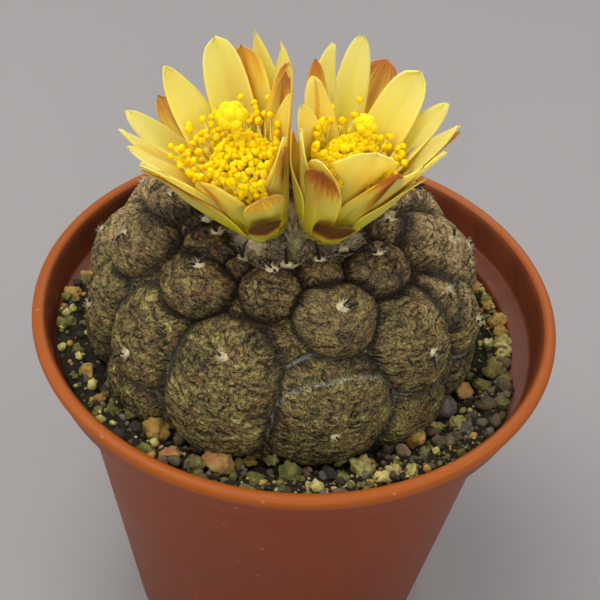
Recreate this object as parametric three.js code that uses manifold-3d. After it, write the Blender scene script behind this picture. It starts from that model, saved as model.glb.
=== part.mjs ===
// Potted Copiapoa hypogaea in bloom: a plastic pot, gritty soil, a low tubercled cactus and yellow blooms.
// Millimetres, +Z up, origin at the middle of the pot's underside. -Y is the side that faces the viewer.

import * as THREE from 'three';
import { mergeVertices } from 'three/addons/utils/BufferGeometryUtils.js';
import Module from 'manifold-3d';

const wasm = await Module();
wasm.setup();

// Driving dimensions of the pot
const POT_RIM_RADIUS = 45;
const POT_HEIGHT = 75;
const POT_BULGE_Z = 73.9;
const POT_MOUTH_RADIUS = 42.4;
const LIP_FOOT_RADIUS = 44.2;
const LIP_FOOT_Z = 72.9;
const COLLAR_BOTTOM_Z = 67.4;
const COLLAR_FOOT_RADIUS = 42.7;
const LEDGE_Z = 68.6;
const BODY_TOP_RADIUS = 38.9;
const BODY_TAPER = THREE.MathUtils.degToRad(8.3);
const WALL = 1.2;
const FLOOR = 1.6;
const DRAIN_HOLES = 6;
const DRAIN_HOLE_RADIUS = 3.2;
const DRAIN_CIRCLE_RADIUS = 19;
const ROUND_SEGMENTS = 40;
const HOLE_SEGMENTS = 32;

// Clearance between pieces that touch
const CLEARANCE = 0.3;

// Driving dimensions of the soil
const SOIL_LEVEL = 70.4;
const SOIL_FALL = 4.6;
const SOIL_HIGH_SIDE = THREE.MathUtils.degToRad(-105);
const SOIL_DIP = 3.2;
const GRAIN_COUNT = 54;

// Driving dimensions of the plant: its axis, and the dome under the tubercles as radius and height over it
const PLANT_X = -2.2;
const PLANT_Y = 0;
const PLANT_Z = 73.9;
const DOME = [
  [0, 15.4], [4, 15.6], [8, 16.4], [12, 17.0], [16, 16.8], [19.6, 15.6], [23.6, 12.4],
  [26.8, 7.8], [28.8, 3], [29.4, 0], [29.2, -4], [28, -8], [25.6, -12],
];
const DOME_SECTORS = 60;
const DOME_ROWS = 27;
const ROOT = [[0, -11], [21, -11], [13, -20], [8, -38], [1.2, -63], [0, -63]];
const ROOT_SECTORS = 14;
const ROOM_GUIDE_RADIUS = 30;
const GROOVE_FILL = 2.0;
const GROOVE_FILL_DOWN = 30;
const SKIN_FADE = 5;

// How far the tubercles lean down the dome, as a slope, at distances down from the crown
const DROOP = [[8, 0.1], [16, 0.45], [34, 0.25], [45, 0]];

// Tubercles that show in front: direction round the plant, distance down from the crown, half width, height,
// half length over half width, and how far the areole sits above the middle.
// A direction of 0 degrees faces the viewer and +90 points to +X.
const FRONT_TUBERCLES = [
  [1.5, 13.6, 2.4, 2.6, 1, 0.5], [-27, 15.2, 2.5, 3.0, 0.9, 1.4], [43.5, 13.0, 2.6, 2.8, 1, 0.8],
  [22, 14.8, 4.1, 4.0, 0.8, 1.6], [-70, 14.4, 3.4, 3.4, 0.9, 1.4], [84, 15.8, 4.6, 3.8, 0.8, 1.2],
  [-51, 14.7, 4.8, 4.4, 0.8, 1.6], [-6, 17.6, 4.9, 5.2, 0.95, 2.6], [-38, 20.3, 6.2, 5.8, 0.8, 2.5],
  [22, 21.6, 6.8, 6.0, 0.84, 1.8], [51, 17.4, 5.8, 5.4, 0.8, 1.9], [-77, 22.8, 7.2, 5.4, 0.9, 0],
  [-90, 17.6, 6.0, 5.0, 0.9, 1.5], [86, 22.4, 7.2, 5.6, 1, 0], [113, 19.8, 6.0, 5.0, 1, 1.5],
  [-16, 33.5, 9.6, 6.0, 1.3, 7.0], [-45, 30.8, 8.3, 5.4, 1.05, -1.4], [49, 29, 8.3, 5.4, 1.08, -0.6],
  [68.5, 27, 5.0, 4.4, 1.25, 1.5], [-71, 33.6, 7.6, 4.9, 1, 0], [77, 33.8, 7.2, 4.9, 1, 0],
  [16.5, 36.2, 11.4, 4.9, 0.96, -0.4], [-47, 42, 8.0, 4.6, 0.9, 0], [45.5, 41.4, 8.4, 4.6, 0.9, 0],
];
// Tubercles of the far side, set evenly from one front neighbour round to the other
const FAR_RINGS = [
  { from: 84, to: 290, count: 4, down: 13.5, radius: 4.3, height: 3.8 },
  { from: 113, to: 270, count: 5, down: 21.0, radius: 6.3, height: 5.2 },
  { from: 77, to: 289, count: 7, down: 31.5, radius: 8.2, height: 5.2 },
  { from: 45.5, to: 313, count: 8, down: 42, radius: 8.2, height: 4.4 },
];
const FAR_AREOLE_RISE = 1.2;

// Areoles: wool tuft and short spines on each tubercle
const AREOLE_LOWEST_DOWN = 39;
const WOOL_RADIUS = 1.1;
const SPINE_RADIUS = 0.36;
const SPINE_LENGTH = 3.2;

// Woolly crown that the blooms rise from
const CROWN_X = -1.6;
const CROWN_Y = -6.4;
const CROWN_Z = 91.6;
const CROWN_WOOL_TUFTS = 12;
const CROWN_RADIUS = 5.6;

// Blooms: foot on the crown, lean of the axis towards +X, in degrees
const LEFT_BLOOM = { x: -5.5, y: -6.5, z: 93.9, lean: -16, side: -1 };
const RIGHT_BLOOM = { x: 2.8, y: -6.3, z: 93.9, lean: 14, side: 1 };
const MEETING_PLANE_X = -1.45;
const NEIGHBOUR_BLOCK = 80;
const TUBE_OUTER = [[0, -3.6], [2.4, -3.6], [3.2, -1.4], [4.6, 1.6], [5.7, 4.6]];
const TUBE_WALL = 0.8;
const TUBE_SECTORS = 12;
const BLADE_THICKNESS = 0.65;
const STAMEN_COUNT = 22;
const FILAMENT_RADIUS = 0.33;
const ANTHER_RADIUS = 0.9;
const STYLE_RADIUS = 0.8;
const STYLE_TOP = 21.3;

// Tepals of each bloom: direction round its axis, lean from the axis, length from the foot, greatest width,
// how round the tip is, from 0 for a point to 1 for a broad end, and for some how far the tip bends sideways.
// Directions follow the tubercles' rule.
const LEFT_INNER = [
  [-97, 39, 27.5, 5.4, 0.1], [-113, 41, 28, 7.4, 0.35], [-136, 30, 30, 7.8, 0.3], [-170, 27, 31, 8.0, 0.85],
  [164, 36, 30.8, 6.2, 0, 2.7], [150, 34, 29, 6.2, 0, 1.6], [124, 24, 27.5, 7.0, 0.3], [86, 21, 26, 7.2, 0.4],
  [48, 27, 24.5, 7.2, 0.45], [27, 31, 20.5, 6.6, 0.6], [-19, 31, 23, 7.0, 0.45], [-46, 33, 28, 7.6, 0.35],
  [-68, 33, 27.5, 7.4, 0.4],
];
const LEFT_OUTER = [
  [-50, 35, 26.5, 7.2, 0.4], [-90, 37, 24.5, 6.8, 0.4], [-136, 47, 27.5, 7.2, 0.5], [176, 31, 29, 8.6, 0.85],
  [130, 23, 27, 6.4, 0.3], [42, 30, 23, 6.6, 0.5], [16, 42, 13, 6.6, 0.9],
];
const RIGHT_INNER = [
  [-147, 34, 29.3, 7.4, 0.15, -3.4], [-175, 35, 31.5, 6.8, 0.55], [145, 22, 30, 8.6, 0.85],
  [117, 25, 28.6, 7.4, 0.35], [93, 26, 28.5, 6.6, 0.2], [72, 27, 26.5, 6.8, 0.3], [50, 26, 25, 7.6, 0.45],
  [15, 17, 23.5, 11.6, 0.8], [-32, 27, 22, 8.0, 0.6], [-58, 27, 24.5, 7.8, 0.55], [-82, 23, 25, 7.8, 0.5],
  [-124, 22, 25.5, 7.8, 0.4],
];
const RIGHT_OUTER = [
  [-27, 31, 22, 7.8, 0.8], [35, 25, 23, 7.2, 0.45], [60, 30, 23, 6.6, 0.4], [97, 29, 27.5, 6.2, 0.3],
  [170, 48, 30.5, 8.6, 0.85], [-142, 30, 27, 6.0, 0.2], [-72, 30, 23, 6.8, 0.4], [2, 36, 12, 7.0, 0.9],
];

// Helpers for solids and chance

// Repeatable draw between 0 and 1 for the nth choice
function chance(n) {
  const wave = Math.sin(n * 127.1 + 311.7) * 43758.5453;
  return wave - Math.floor(wave);
}

function solidOf(geometry) {
  const bare = geometry.clone();
  bare.deleteAttribute('normal');
  bare.deleteAttribute('uv');
  const merged = mergeVertices(bare, 1e-5);
  return new wasm.Manifold(new wasm.Mesh({
    numProp: 3,
    vertProperties: new Float32Array(merged.attributes.position.array),
    triVerts: new Uint32Array(merged.index.array),
  }));
}

function geometryOf(solid) {
  const mesh = solid.getMesh();
  const geometry = new THREE.BufferGeometry();
  geometry.setAttribute('position', new THREE.BufferAttribute(mesh.vertProperties, 3));
  geometry.setIndex(new THREE.BufferAttribute(mesh.triVerts, 1));
  return geometry;
}

function joined(solids) {
  return solids.reduce((whole, solid) => whole.add(solid));
}

// The biggest of the bodies that a cut leaves
function mainBody(solid) {
  return solid.decompose().reduce((best, body) => (body.volume() > best.volume() ? body : best));
}

function lathe(profile, segments) {
  const points = profile.map(([r, z]) => new THREE.Vector2(r, z));
  return new THREE.LatheGeometry(points, segments).rotateX(Math.PI / 2);
}

// Turned solid about the z axis from a profile that runs up the outside, from axis to axis
function turned(profile, segments) {
  return solidOf(lathe(profile, segments));
}

function ballAt(centre, radii, detail, turn) {
  const ball = new THREE.IcosahedronGeometry(1, detail);
  ball.scale(...radii);
  ball.applyMatrix4(new THREE.Matrix4().makeRotationFromEuler(new THREE.Euler(...turn)));
  ball.translate(centre.x, centre.y, centre.z);
  return solidOf(ball);
}

// Straight needle or stalk from one point to another
function needle(start, end, startRadius, endRadius, sides) {
  const along = new THREE.Vector3().subVectors(end, start);
  const shape = new THREE.CylinderGeometry(endRadius, startRadius, along.length(), sides);
  shape.translate(0, along.length() / 2, 0);
  const up = new THREE.Vector3(0, 1, 0);
  shape.applyQuaternion(new THREE.Quaternion().setFromUnitVectors(up, along.clone().normalize()));
  shape.translate(start.x, start.y, start.z);
  return solidOf(shape);
}

// Pot

function potBodyRadius(z) {
  return BODY_TOP_RADIUS - Math.tan(BODY_TAPER) * (COLLAR_BOTTOM_Z - z);
}

function potInnerRadius(z) {
  return potBodyRadius(z) - WALL;
}

function makePot() {
  const base = potBodyRadius(0);
  const shell = turned([
    [0, 0], [base - 1, 0], [base, 1],
    [BODY_TOP_RADIUS, COLLAR_BOTTOM_Z], [COLLAR_FOOT_RADIUS, COLLAR_BOTTOM_Z], [LIP_FOOT_RADIUS, LIP_FOOT_Z],
    [POT_RIM_RADIUS, POT_BULGE_Z], [44.4, POT_HEIGHT], [43.1, POT_HEIGHT], [POT_MOUTH_RADIUS, 74.1],
    [COLLAR_FOOT_RADIUS - WALL, LEDGE_Z], [potInnerRadius(LEDGE_Z), LEDGE_Z - 0.4],
    [potInnerRadius(FLOOR + 0.6), FLOOR + 0.6], [potInnerRadius(FLOOR) - 0.8, FLOOR], [0, FLOOR],
  ], ROUND_SEGMENTS);
  const drain = new THREE.CylinderGeometry(DRAIN_HOLE_RADIUS, DRAIN_HOLE_RADIUS, 3 * FLOOR, 10);
  drain.rotateX(Math.PI / 2);
  let pot = shell;
  for (let i = 0; i < DRAIN_HOLES; i += 1) {
    const angle = (i * 2 * Math.PI) / DRAIN_HOLES;
    const hole = drain.clone();
    hole.translate(DRAIN_CIRCLE_RADIUS * Math.cos(angle), DRAIN_CIRCLE_RADIUS * Math.sin(angle), FLOOR / 2);
    pot = pot.subtract(solidOf(hole));
  }
  return pot;
}

// Plant: a dome whose surface rises in tubercles

const domeLengths = DOME.map(() => 0);
DOME.forEach(([r, z], i) => {
  if (i > 0) {
    domeLengths[i] = domeLengths[i - 1] + Math.hypot(r - DOME[i - 1][0], z - DOME[i - 1][1]);
  }
});
const DOME_LENGTH = domeLengths[DOME.length - 1];
const domeCurve = new THREE.CatmullRomCurve3(DOME.map(([r, z]) => new THREE.Vector3(r, 0, z)));

// Radius and height of the dome at a distance down from the crown
function domeProfile(down) {
  const reach = Math.min(Math.max(down, 0), DOME_LENGTH);
  let i = 1;
  while (i < DOME.length - 1 && domeLengths[i] < reach) {
    i += 1;
  }
  const share = (reach - domeLengths[i - 1]) / (domeLengths[i] - domeLengths[i - 1]);
  return domeCurve.getPoint((i - 1 + share) / (DOME.length - 1));
}

function domePoint(direction, down) {
  const angle = THREE.MathUtils.degToRad(direction);
  const { x: r, z } = domeProfile(down);
  return new THREE.Vector3(PLANT_X + r * Math.sin(angle), PLANT_Y - r * Math.cos(angle), PLANT_Z + z);
}

// Unit vector down the dome's surface
function domeSlope(direction, down) {
  const angle = THREE.MathUtils.degToRad(direction);
  const above = domeProfile(Math.max(down - 0.4, 0));
  const below = domeProfile(Math.min(down + 0.4, DOME_LENGTH));
  const run = new THREE.Vector2(below.x - above.x, below.z - above.z).normalize();
  return new THREE.Vector3(run.x * Math.sin(angle), -run.x * Math.cos(angle), run.y);
}

function domeNormal(direction, down) {
  const angle = THREE.MathUtils.degToRad(direction);
  const around = new THREE.Vector3(Math.cos(angle), Math.sin(angle), 0);
  return domeSlope(direction, down).cross(around);
}

function farTubercles() {
  const rows = [];
  FAR_RINGS.forEach((ring, ringIndex) => {
    for (let i = 1; i <= ring.count; i += 1) {
      const draw = 10 * ringIndex + i;
      const even = ring.from + ((ring.to - ring.from) * i) / (ring.count + 1);
      const direction = even + 5 * (chance(draw) - 0.5);
      const down = ring.down + 1.6 * (chance(draw + 100) - 0.5);
      rows.push([direction, down, ring.radius, ring.height, 1, FAR_AREOLE_RISE]);
    }
  });
  return rows;
}

const tubercles = [...FRONT_TUBERCLES, ...farTubercles()].map((row) => {
  const [direction, down, radius, height, stretch, rise] = row;
  return { direction, down, radius, height, length: radius * stretch, areoleDown: down - rise };
});

// Value at x on a line drawn through pairs of x and value
function alongLine(pairs, x) {
  const i = Math.max(1, pairs.findIndex(([start], n) => start >= x || n === pairs.length - 1));
  const share = (x - pairs[i - 1][0]) / (pairs[i][0] - pairs[i - 1][0]);
  return THREE.MathUtils.lerp(pairs[i - 1][1], pairs[i][1], THREE.MathUtils.clamp(share, 0, 1));
}

// Height of the skin over the dome: each tubercle is a round cap, and where two meet there is a groove
function skinHeight(direction, down) {
  const { x: reach } = domeProfile(down);
  let height = GROOVE_FILL * Math.min(down / GROOVE_FILL_DOWN, 1);
  tubercles.forEach((tubercle) => {
    const turn = THREE.MathUtils.euclideanModulo(direction - tubercle.direction + 180, 360) - 180;
    const across = (THREE.MathUtils.degToRad(turn) * reach) / tubercle.radius;
    const along = (down - tubercle.down) / tubercle.length;
    const share = across * across + along * along;
    if (share < 1) {
      height = Math.max(height, tubercle.height * Math.sqrt(1 - share));
    }
  });
  return height;
}

function skinPoint(direction, down) {
  const fade = Math.min(1, (DOME_LENGTH - down) / SKIN_FADE);
  const height = skinHeight(direction, down) * fade;
  return domePoint(direction, down)
    .addScaledVector(domeNormal(direction, down), height)
    .addScaledVector(domeSlope(direction, down), height * alongLine(DROOP, down));
}

function plantSkin() {
  const points = [skinPoint(0, 0)];
  for (let row = 1; row <= DOME_ROWS; row += 1) {
    for (let sector = 0; sector < DOME_SECTORS; sector += 1) {
      points.push(skinPoint((sector * 360) / DOME_SECTORS, DOME_LENGTH * (row / DOME_ROWS) ** 1.1));
    }
  }
  points.push(new THREE.Vector3(PLANT_X, PLANT_Y, PLANT_Z + DOME[DOME.length - 1][1]));
  const last = points.length - 1;
  const index = [];
  const at = (row, sector) => 1 + (row - 1) * DOME_SECTORS + (sector % DOME_SECTORS);
  for (let sector = 0; sector < DOME_SECTORS; sector += 1) {
    index.push(0, at(1, sector), at(1, sector + 1));
    for (let row = 1; row < DOME_ROWS; row += 1) {
      index.push(at(row, sector), at(row + 1, sector), at(row + 1, sector + 1));
      index.push(at(row, sector), at(row + 1, sector + 1), at(row, sector + 1));
    }
    index.push(at(DOME_ROWS, sector), last, at(DOME_ROWS, sector + 1));
  }
  const geometry = new THREE.BufferGeometry().setFromPoints(points);
  geometry.setIndex(index);
  return solidOf(geometry);
}

function tapRoot() {
  const root = lathe([...ROOT].reverse(), ROOT_SECTORS);
  root.translate(PLANT_X, PLANT_Y, PLANT_Z);
  return solidOf(root);
}

function areole(tubercle, number) {
  const base = skinPoint(tubercle.direction, tubercle.areoleDown);
  const out = domeNormal(tubercle.direction, tubercle.areoleDown);
  const tuft = new THREE.OctahedronGeometry(WOOL_RADIUS, 0);
  tuft.rotateZ(number);
  tuft.translate(base.x, base.y, base.z);
  const turn = 2 * Math.PI * chance(3 * number);
  const side = new THREE.Vector3(Math.cos(turn), Math.sin(turn), 0.6);
  const length = SPINE_LENGTH * (0.8 + 0.5 * chance(number + 7));
  const tip = base.clone().addScaledVector(out.clone().add(side).normalize(), length);
  return [solidOf(tuft), needle(base, tip, SPINE_RADIUS, 0, 3)];
}

function crownWool() {
  const solids = [];
  for (let i = 0; i < CROWN_WOOL_TUFTS; i += 1) {
    const turn = i * 2.4;
    const reach = CROWN_RADIUS * Math.sqrt((i + 0.5) / CROWN_WOOL_TUFTS);
    const x = CROWN_X + 1.3 * reach * Math.cos(turn);
    const y = CROWN_Y + reach * Math.sin(turn);
    const centre = new THREE.Vector3(x, y, CROWN_Z - 0.16 * reach + 0.8 * chance(i));
    solids.push(ballAt(centre, [2.5, 2.3, 2.7], 0, [0, 0, turn]));
  }
  return solids;
}

// Blooms

// Frame of a bloom: foot, axis, and the unit vectors that point to the viewer's side and to the right
function bloomFrame(bloom) {
  const lean = THREE.MathUtils.degToRad(bloom.lean);
  return {
    foot: new THREE.Vector3(bloom.x, bloom.y, bloom.z),
    axis: new THREE.Vector3(Math.sin(lean), 0, Math.cos(lean)),
    front: new THREE.Vector3(0, -1, 0),
    right: new THREE.Vector3(Math.cos(lean), 0, -Math.sin(lean)),
    side: bloom.side,
  };
}

function inBloom(frame, direction, radius, height) {
  const angle = THREE.MathUtils.degToRad(direction);
  return frame.foot.clone()
    .addScaledVector(frame.axis, height)
    .addScaledVector(frame.front, radius * Math.cos(angle))
    .addScaledVector(frame.right, radius * Math.sin(angle));
}

// Keeps a point on its own bloom's side of the plane where the two blooms press together
function heldBack(point, frame, margin) {
  const limit = MEETING_PLANE_X + frame.side * margin;
  point.x = frame.side > 0 ? Math.max(point.x, limit) : Math.min(point.x, limit);
  return point;
}

function bladeWidth(share, width, roundness) {
  const pointed = Math.max(Math.sin(Math.PI * Math.min(0.12 + 0.88 * share, 1) ** 1.1), 0) ** 0.8;
  const broad = Math.sqrt(Math.max(1 - (2 * share - 1) ** 4, 0)) * (0.55 + 0.45 * share);
  return width * Math.max((1 - roundness) * pointed + roundness * broad, share < 0.5 ? 0.34 : 0.14);
}

// Middle surface of a tepal, from its root on the cup to its tip; across runs from -1 to 1
function bladePoint(frame, tepal, root, share, across) {
  const [direction, lean, length, width, roundness, bend = 0] = tepal;
  const angle = THREE.MathUtils.degToRad(lean);
  const tip = new THREE.Vector2(length * Math.sin(angle), length * Math.cos(angle));
  const bow = new THREE.Vector2(tip.x * 0.62 + 1.2, tip.y * 0.5);
  const a = (1 - share) ** 2;
  const b = 2 * share * (1 - share);
  const c = share ** 2;
  const radius = a * root.radius + b * bow.x + c * tip.x;
  const height = a * root.height + b * bow.y + c * tip.y;
  const half = (across * bladeWidth(share, width, roundness)) / 2;
  const sway = 2.8 * bend * Math.max(share - 0.4, 0) ** 2;
  const cupped = Math.abs(half) * 0.22;
  const point = inBloom(frame, direction, radius - cupped, height);
  const sideways = inBloom(frame, direction + 90, 1, 0).sub(inBloom(frame, 0, 0, 0));
  return heldBack(point.addScaledVector(sideways, half + sway), frame, root.margin);
}

// Closed thin blade whose two faces are split into triangles alike
function blade(frame, tepal, root, swell) {
  const { rows } = root;
  const columns = 2;
  const middle = [];
  for (let i = 0; i <= rows; i += 1) {
    for (let j = 0; j <= columns; j += 1) {
      const share = i / rows;
      const across = ((2 * j) / columns - 1) * (1 + swell / 3);
      middle.push(bladePoint(frame, tepal, root, share, across));
    }
  }
  const at = (i, j) => i * (columns + 1) + j;
  const half = BLADE_THICKNESS / 2 + swell;
  const inner = [];
  const outer = [];
  for (let i = 0; i <= rows; i += 1) {
    for (let j = 0; j <= columns; j += 1) {
      const along = middle[at(Math.min(i + 1, rows), j)].clone().sub(middle[at(Math.max(i - 1, 0), j)]);
      const across = middle[at(i, Math.min(j + 1, columns))].clone().sub(middle[at(i, Math.max(j - 1, 0))]);
      const normal = along.cross(across).normalize();
      inner.push(middle[at(i, j)].clone().addScaledVector(normal, half));
      outer.push(middle[at(i, j)].clone().addScaledVector(normal, -half));
    }
  }
  const count = inner.length;
  const index = [];
  for (let i = 0; i < rows; i += 1) {
    for (let j = 0; j < columns; j += 1) {
      const [p, q, r, s] = [at(i, j), at(i + 1, j), at(i + 1, j + 1), at(i, j + 1)];
      index.push(p, q, r, p, r, s);
      index.push(count + p, count + r, count + q, count + p, count + s, count + r);
    }
  }
  const wall = (p, q) => index.push(p, count + p, count + q, p, count + q, q);
  for (let i = 0; i < rows; i += 1) {
    wall(at(i, 0), at(i + 1, 0));
    wall(at(i + 1, columns), at(i, columns));
  }
  for (let j = 0; j < columns; j += 1) {
    wall(at(rows, j), at(rows, j + 1));
    wall(at(0, j + 1), at(0, j));
  }
  const geometry = new THREE.BufferGeometry().setFromPoints([...inner, ...outer]);
  geometry.setIndex(index);
  return solidOf(geometry);
}

function placedInBloom(solid, frame) {
  const matrix = new THREE.Matrix4().makeBasis(frame.right, frame.front.clone().negate(), frame.axis);
  matrix.setPosition(frame.foot);
  return solid.transform(matrix.elements);
}

// Ring or cup that follows the tube's wall, a given distance inside its outer face
function tubeRadius(height) {
  const i = TUBE_OUTER.findIndex(([, z], n) => n > 1 && z >= height);
  const [r0, z0] = TUBE_OUTER[i - 1];
  const [r1, z1] = TUBE_OUTER[i];
  return r0 + ((r1 - r0) * (height - z0)) / (z1 - z0);
}

function ringInTube(bottom, top, inset, wall) {
  const outer = (z) => tubeRadius(z) - inset;
  return turned([
    [outer(bottom) - wall, bottom], [outer(bottom), bottom], [outer(top), top], [outer(top) - wall, top],
    [outer(bottom) - wall, bottom],
  ], TUBE_SECTORS);
}

const INNER_ROOT = { radius: 4.0, height: 3.8, margin: 1.45, rows: 4 };
const OUTER_ROOT = { radius: 5.15, height: 4.2, margin: 0.5, rows: 3 };
const INNER_INSET = TUBE_WALL + CLEARANCE;
const STAMEN_INSET = INNER_INSET + 0.7 + CLEARANCE;

function innerTepals(frame, tepals, swell) {
  const ring = placedInBloom(ringInTube(1.6, 4.2, INNER_INSET - swell, 0.7 + 2 * swell), frame);
  return joined([ring, ...tepals.map((tepal) => blade(frame, tepal, INNER_ROOT, swell))]);
}

function outerTepals(frame, tepals) {
  const rim = TUBE_OUTER[TUBE_OUTER.length - 1];
  const inside = [[rim[0] - TUBE_WALL, rim[1]], [tubeRadius(1.4) - TUBE_WALL, 1.4], [2.6, 0.2], [0, 0.2]];
  const tube = placedInBloom(turned([...TUBE_OUTER, ...inside], TUBE_SECTORS), frame);
  return joined([tube, ...tepals.map((tepal) => blade(frame, tepal, OUTER_ROOT, 0))]);
}

// Stamens: filaments that stand out of a short funnel, each with its anther
function stamens(frame, seed) {
  const bottom = tubeRadius(1.4) - STAMEN_INSET;
  const funnel = placedInBloom(turned([
    [bottom - 0.8, 1.4], [bottom, 1.4], [4.0, 8.0], [3.0, 8.0], [bottom - 0.8, 1.4],
  ], TUBE_SECTORS), frame);
  const solids = [funnel];
  for (let i = 0; i < STAMEN_COUNT; i += 1) {
    const direction = (i * 360) / STAMEN_COUNT;
    const spread = ((i * 7) % STAMEN_COUNT) / STAMEN_COUNT;
    const height = 12.4 + 2.6 * chance(seed + i) + 2.4 * spread;
    const radius = 3.4 + 6.4 * spread;
    const root = inBloom(frame, direction, 3.5, 7.8);
    const tip = heldBack(inBloom(frame, direction, radius, height), frame, 2.2);
    solids.push(needle(root, tip, FILAMENT_RADIUS, FILAMENT_RADIUS, 3));
    const anther = new THREE.OctahedronGeometry(1, 0);
    anther.scale(ANTHER_RADIUS, ANTHER_RADIUS, ANTHER_RADIUS * 1.35);
    anther.translate(tip.x, tip.y, tip.z);
    solids.push(solidOf(anther));
  }
  return joined(solids);
}

// Style with a lobed stigma, whose lobes are raised from a ball
function styleAndStigma(frame) {
  const foot = inBloom(frame, 0, 0, 0.2 + CLEARANCE);
  const top = inBloom(frame, 0, 0, STYLE_TOP);
  const knob = new THREE.IcosahedronGeometry(1, 1);
  const position = knob.attributes.position;
  for (let i = 0; i < position.count; i += 1) {
    const turn = Math.atan2(position.getY(i), position.getX(i));
    const reach = 2.5 + 0.5 * Math.cos(5 * turn);
    position.setXYZ(i, position.getX(i) * reach, position.getY(i) * reach, position.getZ(i) * 2.2);
  }
  knob.translate(top.x, top.y, top.z + 0.9);
  return joined([needle(foot, top, STYLE_RADIUS, STYLE_RADIUS, 8), solidOf(knob)]);
}

// Block on the other bloom's side of the plane where the two blooms press together
function neighbourRoom(frame) {
  const block = new THREE.BoxGeometry(NEIGHBOUR_BLOCK, NEIGHBOUR_BLOCK, NEIGHBOUR_BLOCK);
  const x = MEETING_PLANE_X + (frame.side * (CLEARANCE - NEIGHBOUR_BLOCK)) / 2;
  block.translate(x, frame.foot.y, frame.foot.z);
  return solidOf(block);
}

function makeBloom(bloom, inner, outer, seed) {
  const frame = bloomFrame(bloom);
  const innerSolid = innerTepals(frame, inner, 0);
  const innerRoom = innerTepals(frame, inner, CLEARANCE);
  const outerSolid = mainBody(outerTepals(frame, outer).subtract(innerRoom).subtract(neighbourRoom(frame)));
  const style = styleAndStigma(frame);
  const styleRoom = joined([
    needle(inBloom(frame, 0, 0, 0), inBloom(frame, 0, 0, STYLE_TOP), 1.15, 1.15, 8),
    ballAt(inBloom(frame, 0, 0, STYLE_TOP + 0.9), [3.4, 3.4, 2.7], 1, [0, 0, 0]),
  ]);
  const stamenSolid = mainBody(stamens(frame, seed).subtract(innerRoom).subtract(styleRoom));
  const socket = placedInBloom(turned([
    [0, -3.9], [2.75, -3.9], [3.6, -1.5], [5.1, 1.5], [6.6, 5], [0, 5],
  ], TUBE_SECTORS), frame);
  return { inner: innerSolid, outer: outerSolid, stamens: stamenSolid, style, socket };
}

// Soil

// Level of the soil at the wall: highest on the viewer's side, lowest behind
function soilTop(angle) {
  const away = (1 - Math.cos(angle - SOIL_HIGH_SIDE)) / 2;
  return SOIL_LEVEL - SOIL_FALL * away ** 2;
}

function soilHeight(x, y) {
  const dip = SOIL_DIP * THREE.MathUtils.clamp((39 - Math.hypot(x, y)) / 7, 0, 1);
  const rough = 0.35 * (Math.sin(1.7 * x + 0.9 * y) + Math.sin(2.3 * y - 1.1 * x));
  return soilTop(Math.atan2(y, x)) - dip + rough;
}

function grain(number) {
  const angle = number * 2.39996;
  const reach = 33.5 + 6.3 * chance(number + 200);
  const size = 1.7 + 1.6 * chance(number + 300) ** 1.5;
  const [x, y] = [reach * Math.cos(angle), reach * Math.sin(angle)];
  const stone = new THREE.OctahedronGeometry(size, 0);
  stone.scale(0.9 + 0.5 * chance(number + 400), 1, 0.85);
  stone.rotateX(3 * chance(number));
  stone.rotateZ(3 * chance(number + 1));
  stone.translate(x, y, soilHeight(x, y) + 0.35 * size);
  return solidOf(stone);
}

// Room that the plant takes up in the soil: a plain hole round the root that widens to the lobes above it
function plantRoom() {
  const heights = [-12.3, -9, -6, -3, 1];
  const skin = [];
  for (let row = 0; row <= 4 * DOME_ROWS; row += 1) {
    for (let sector = 0; sector < DOME_SECTORS; sector += 1) {
      const point = skinPoint((sector * 360) / DOME_SECTORS, (row * DOME_LENGTH) / (4 * DOME_ROWS));
      skin.push(point.sub(new THREE.Vector3(PLANT_X, PLANT_Y, PLANT_Z)));
    }
  }
  const halfView = (1.5 * 2 * Math.PI) / HOLE_SEGMENTS;
  const reachAt = (x, y, z) => {
    const near = skin.filter((point) => (
      Math.abs(point.z - z) < 1.6 && Math.hypot(x, y) * Math.hypot(point.x, point.y) * Math.cos(halfView)
        < x * point.x + y * point.y
    ));
    const reach = Math.max(...near.map((point) => Math.hypot(point.x, point.y)));
    return (reach + CLEARANCE) / Math.cos(Math.PI / HOLE_SEGMENTS);
  };
  const root = ROOT.slice(2, -1).reverse().map(([r, z]) => [r + 2 * CLEARANCE, z - CLEARANCE]);
  const wide = heights.map((z) => [ROOM_GUIDE_RADIUS, z]);
  const room = lathe([[0, ROOT[ROOT.length - 1][1] - 0.6], ...root, ...wide, [0, 1]], HOLE_SEGMENTS);
  const position = room.attributes.position;
  for (let i = 0; i < position.count; i += 1) {
    const [x, y, z] = [position.getX(i), position.getY(i), position.getZ(i)];
    if (Math.hypot(x, y) > ROOM_GUIDE_RADIUS - 0.01) {
      const scale = reachAt(x, y, z) / ROOM_GUIDE_RADIUS;
      position.setXY(i, x * scale, y * scale);
    }
  }
  room.translate(PLANT_X, PLANT_Y, PLANT_Z);
  return solidOf(room);
}

// Space inside the pot, a clearance inside its wall and above its floor and ledge
function potFilling() {
  const bottom = FLOOR + CLEARANCE;
  const ledge = LEDGE_Z + CLEARANCE;
  const collar = COLLAR_FOOT_RADIUS - WALL - CLEARANCE;
  const wall = (z) => potInnerRadius(z) - CLEARANCE;
  return turned([
    [0, bottom], [wall(bottom) - 0.9, bottom], [wall(bottom + 0.9), bottom + 0.9], [wall(ledge), ledge],
    [collar, ledge], [collar + 0.4, 73], [0, 73],
  ], ROUND_SEGMENTS);
}

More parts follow.
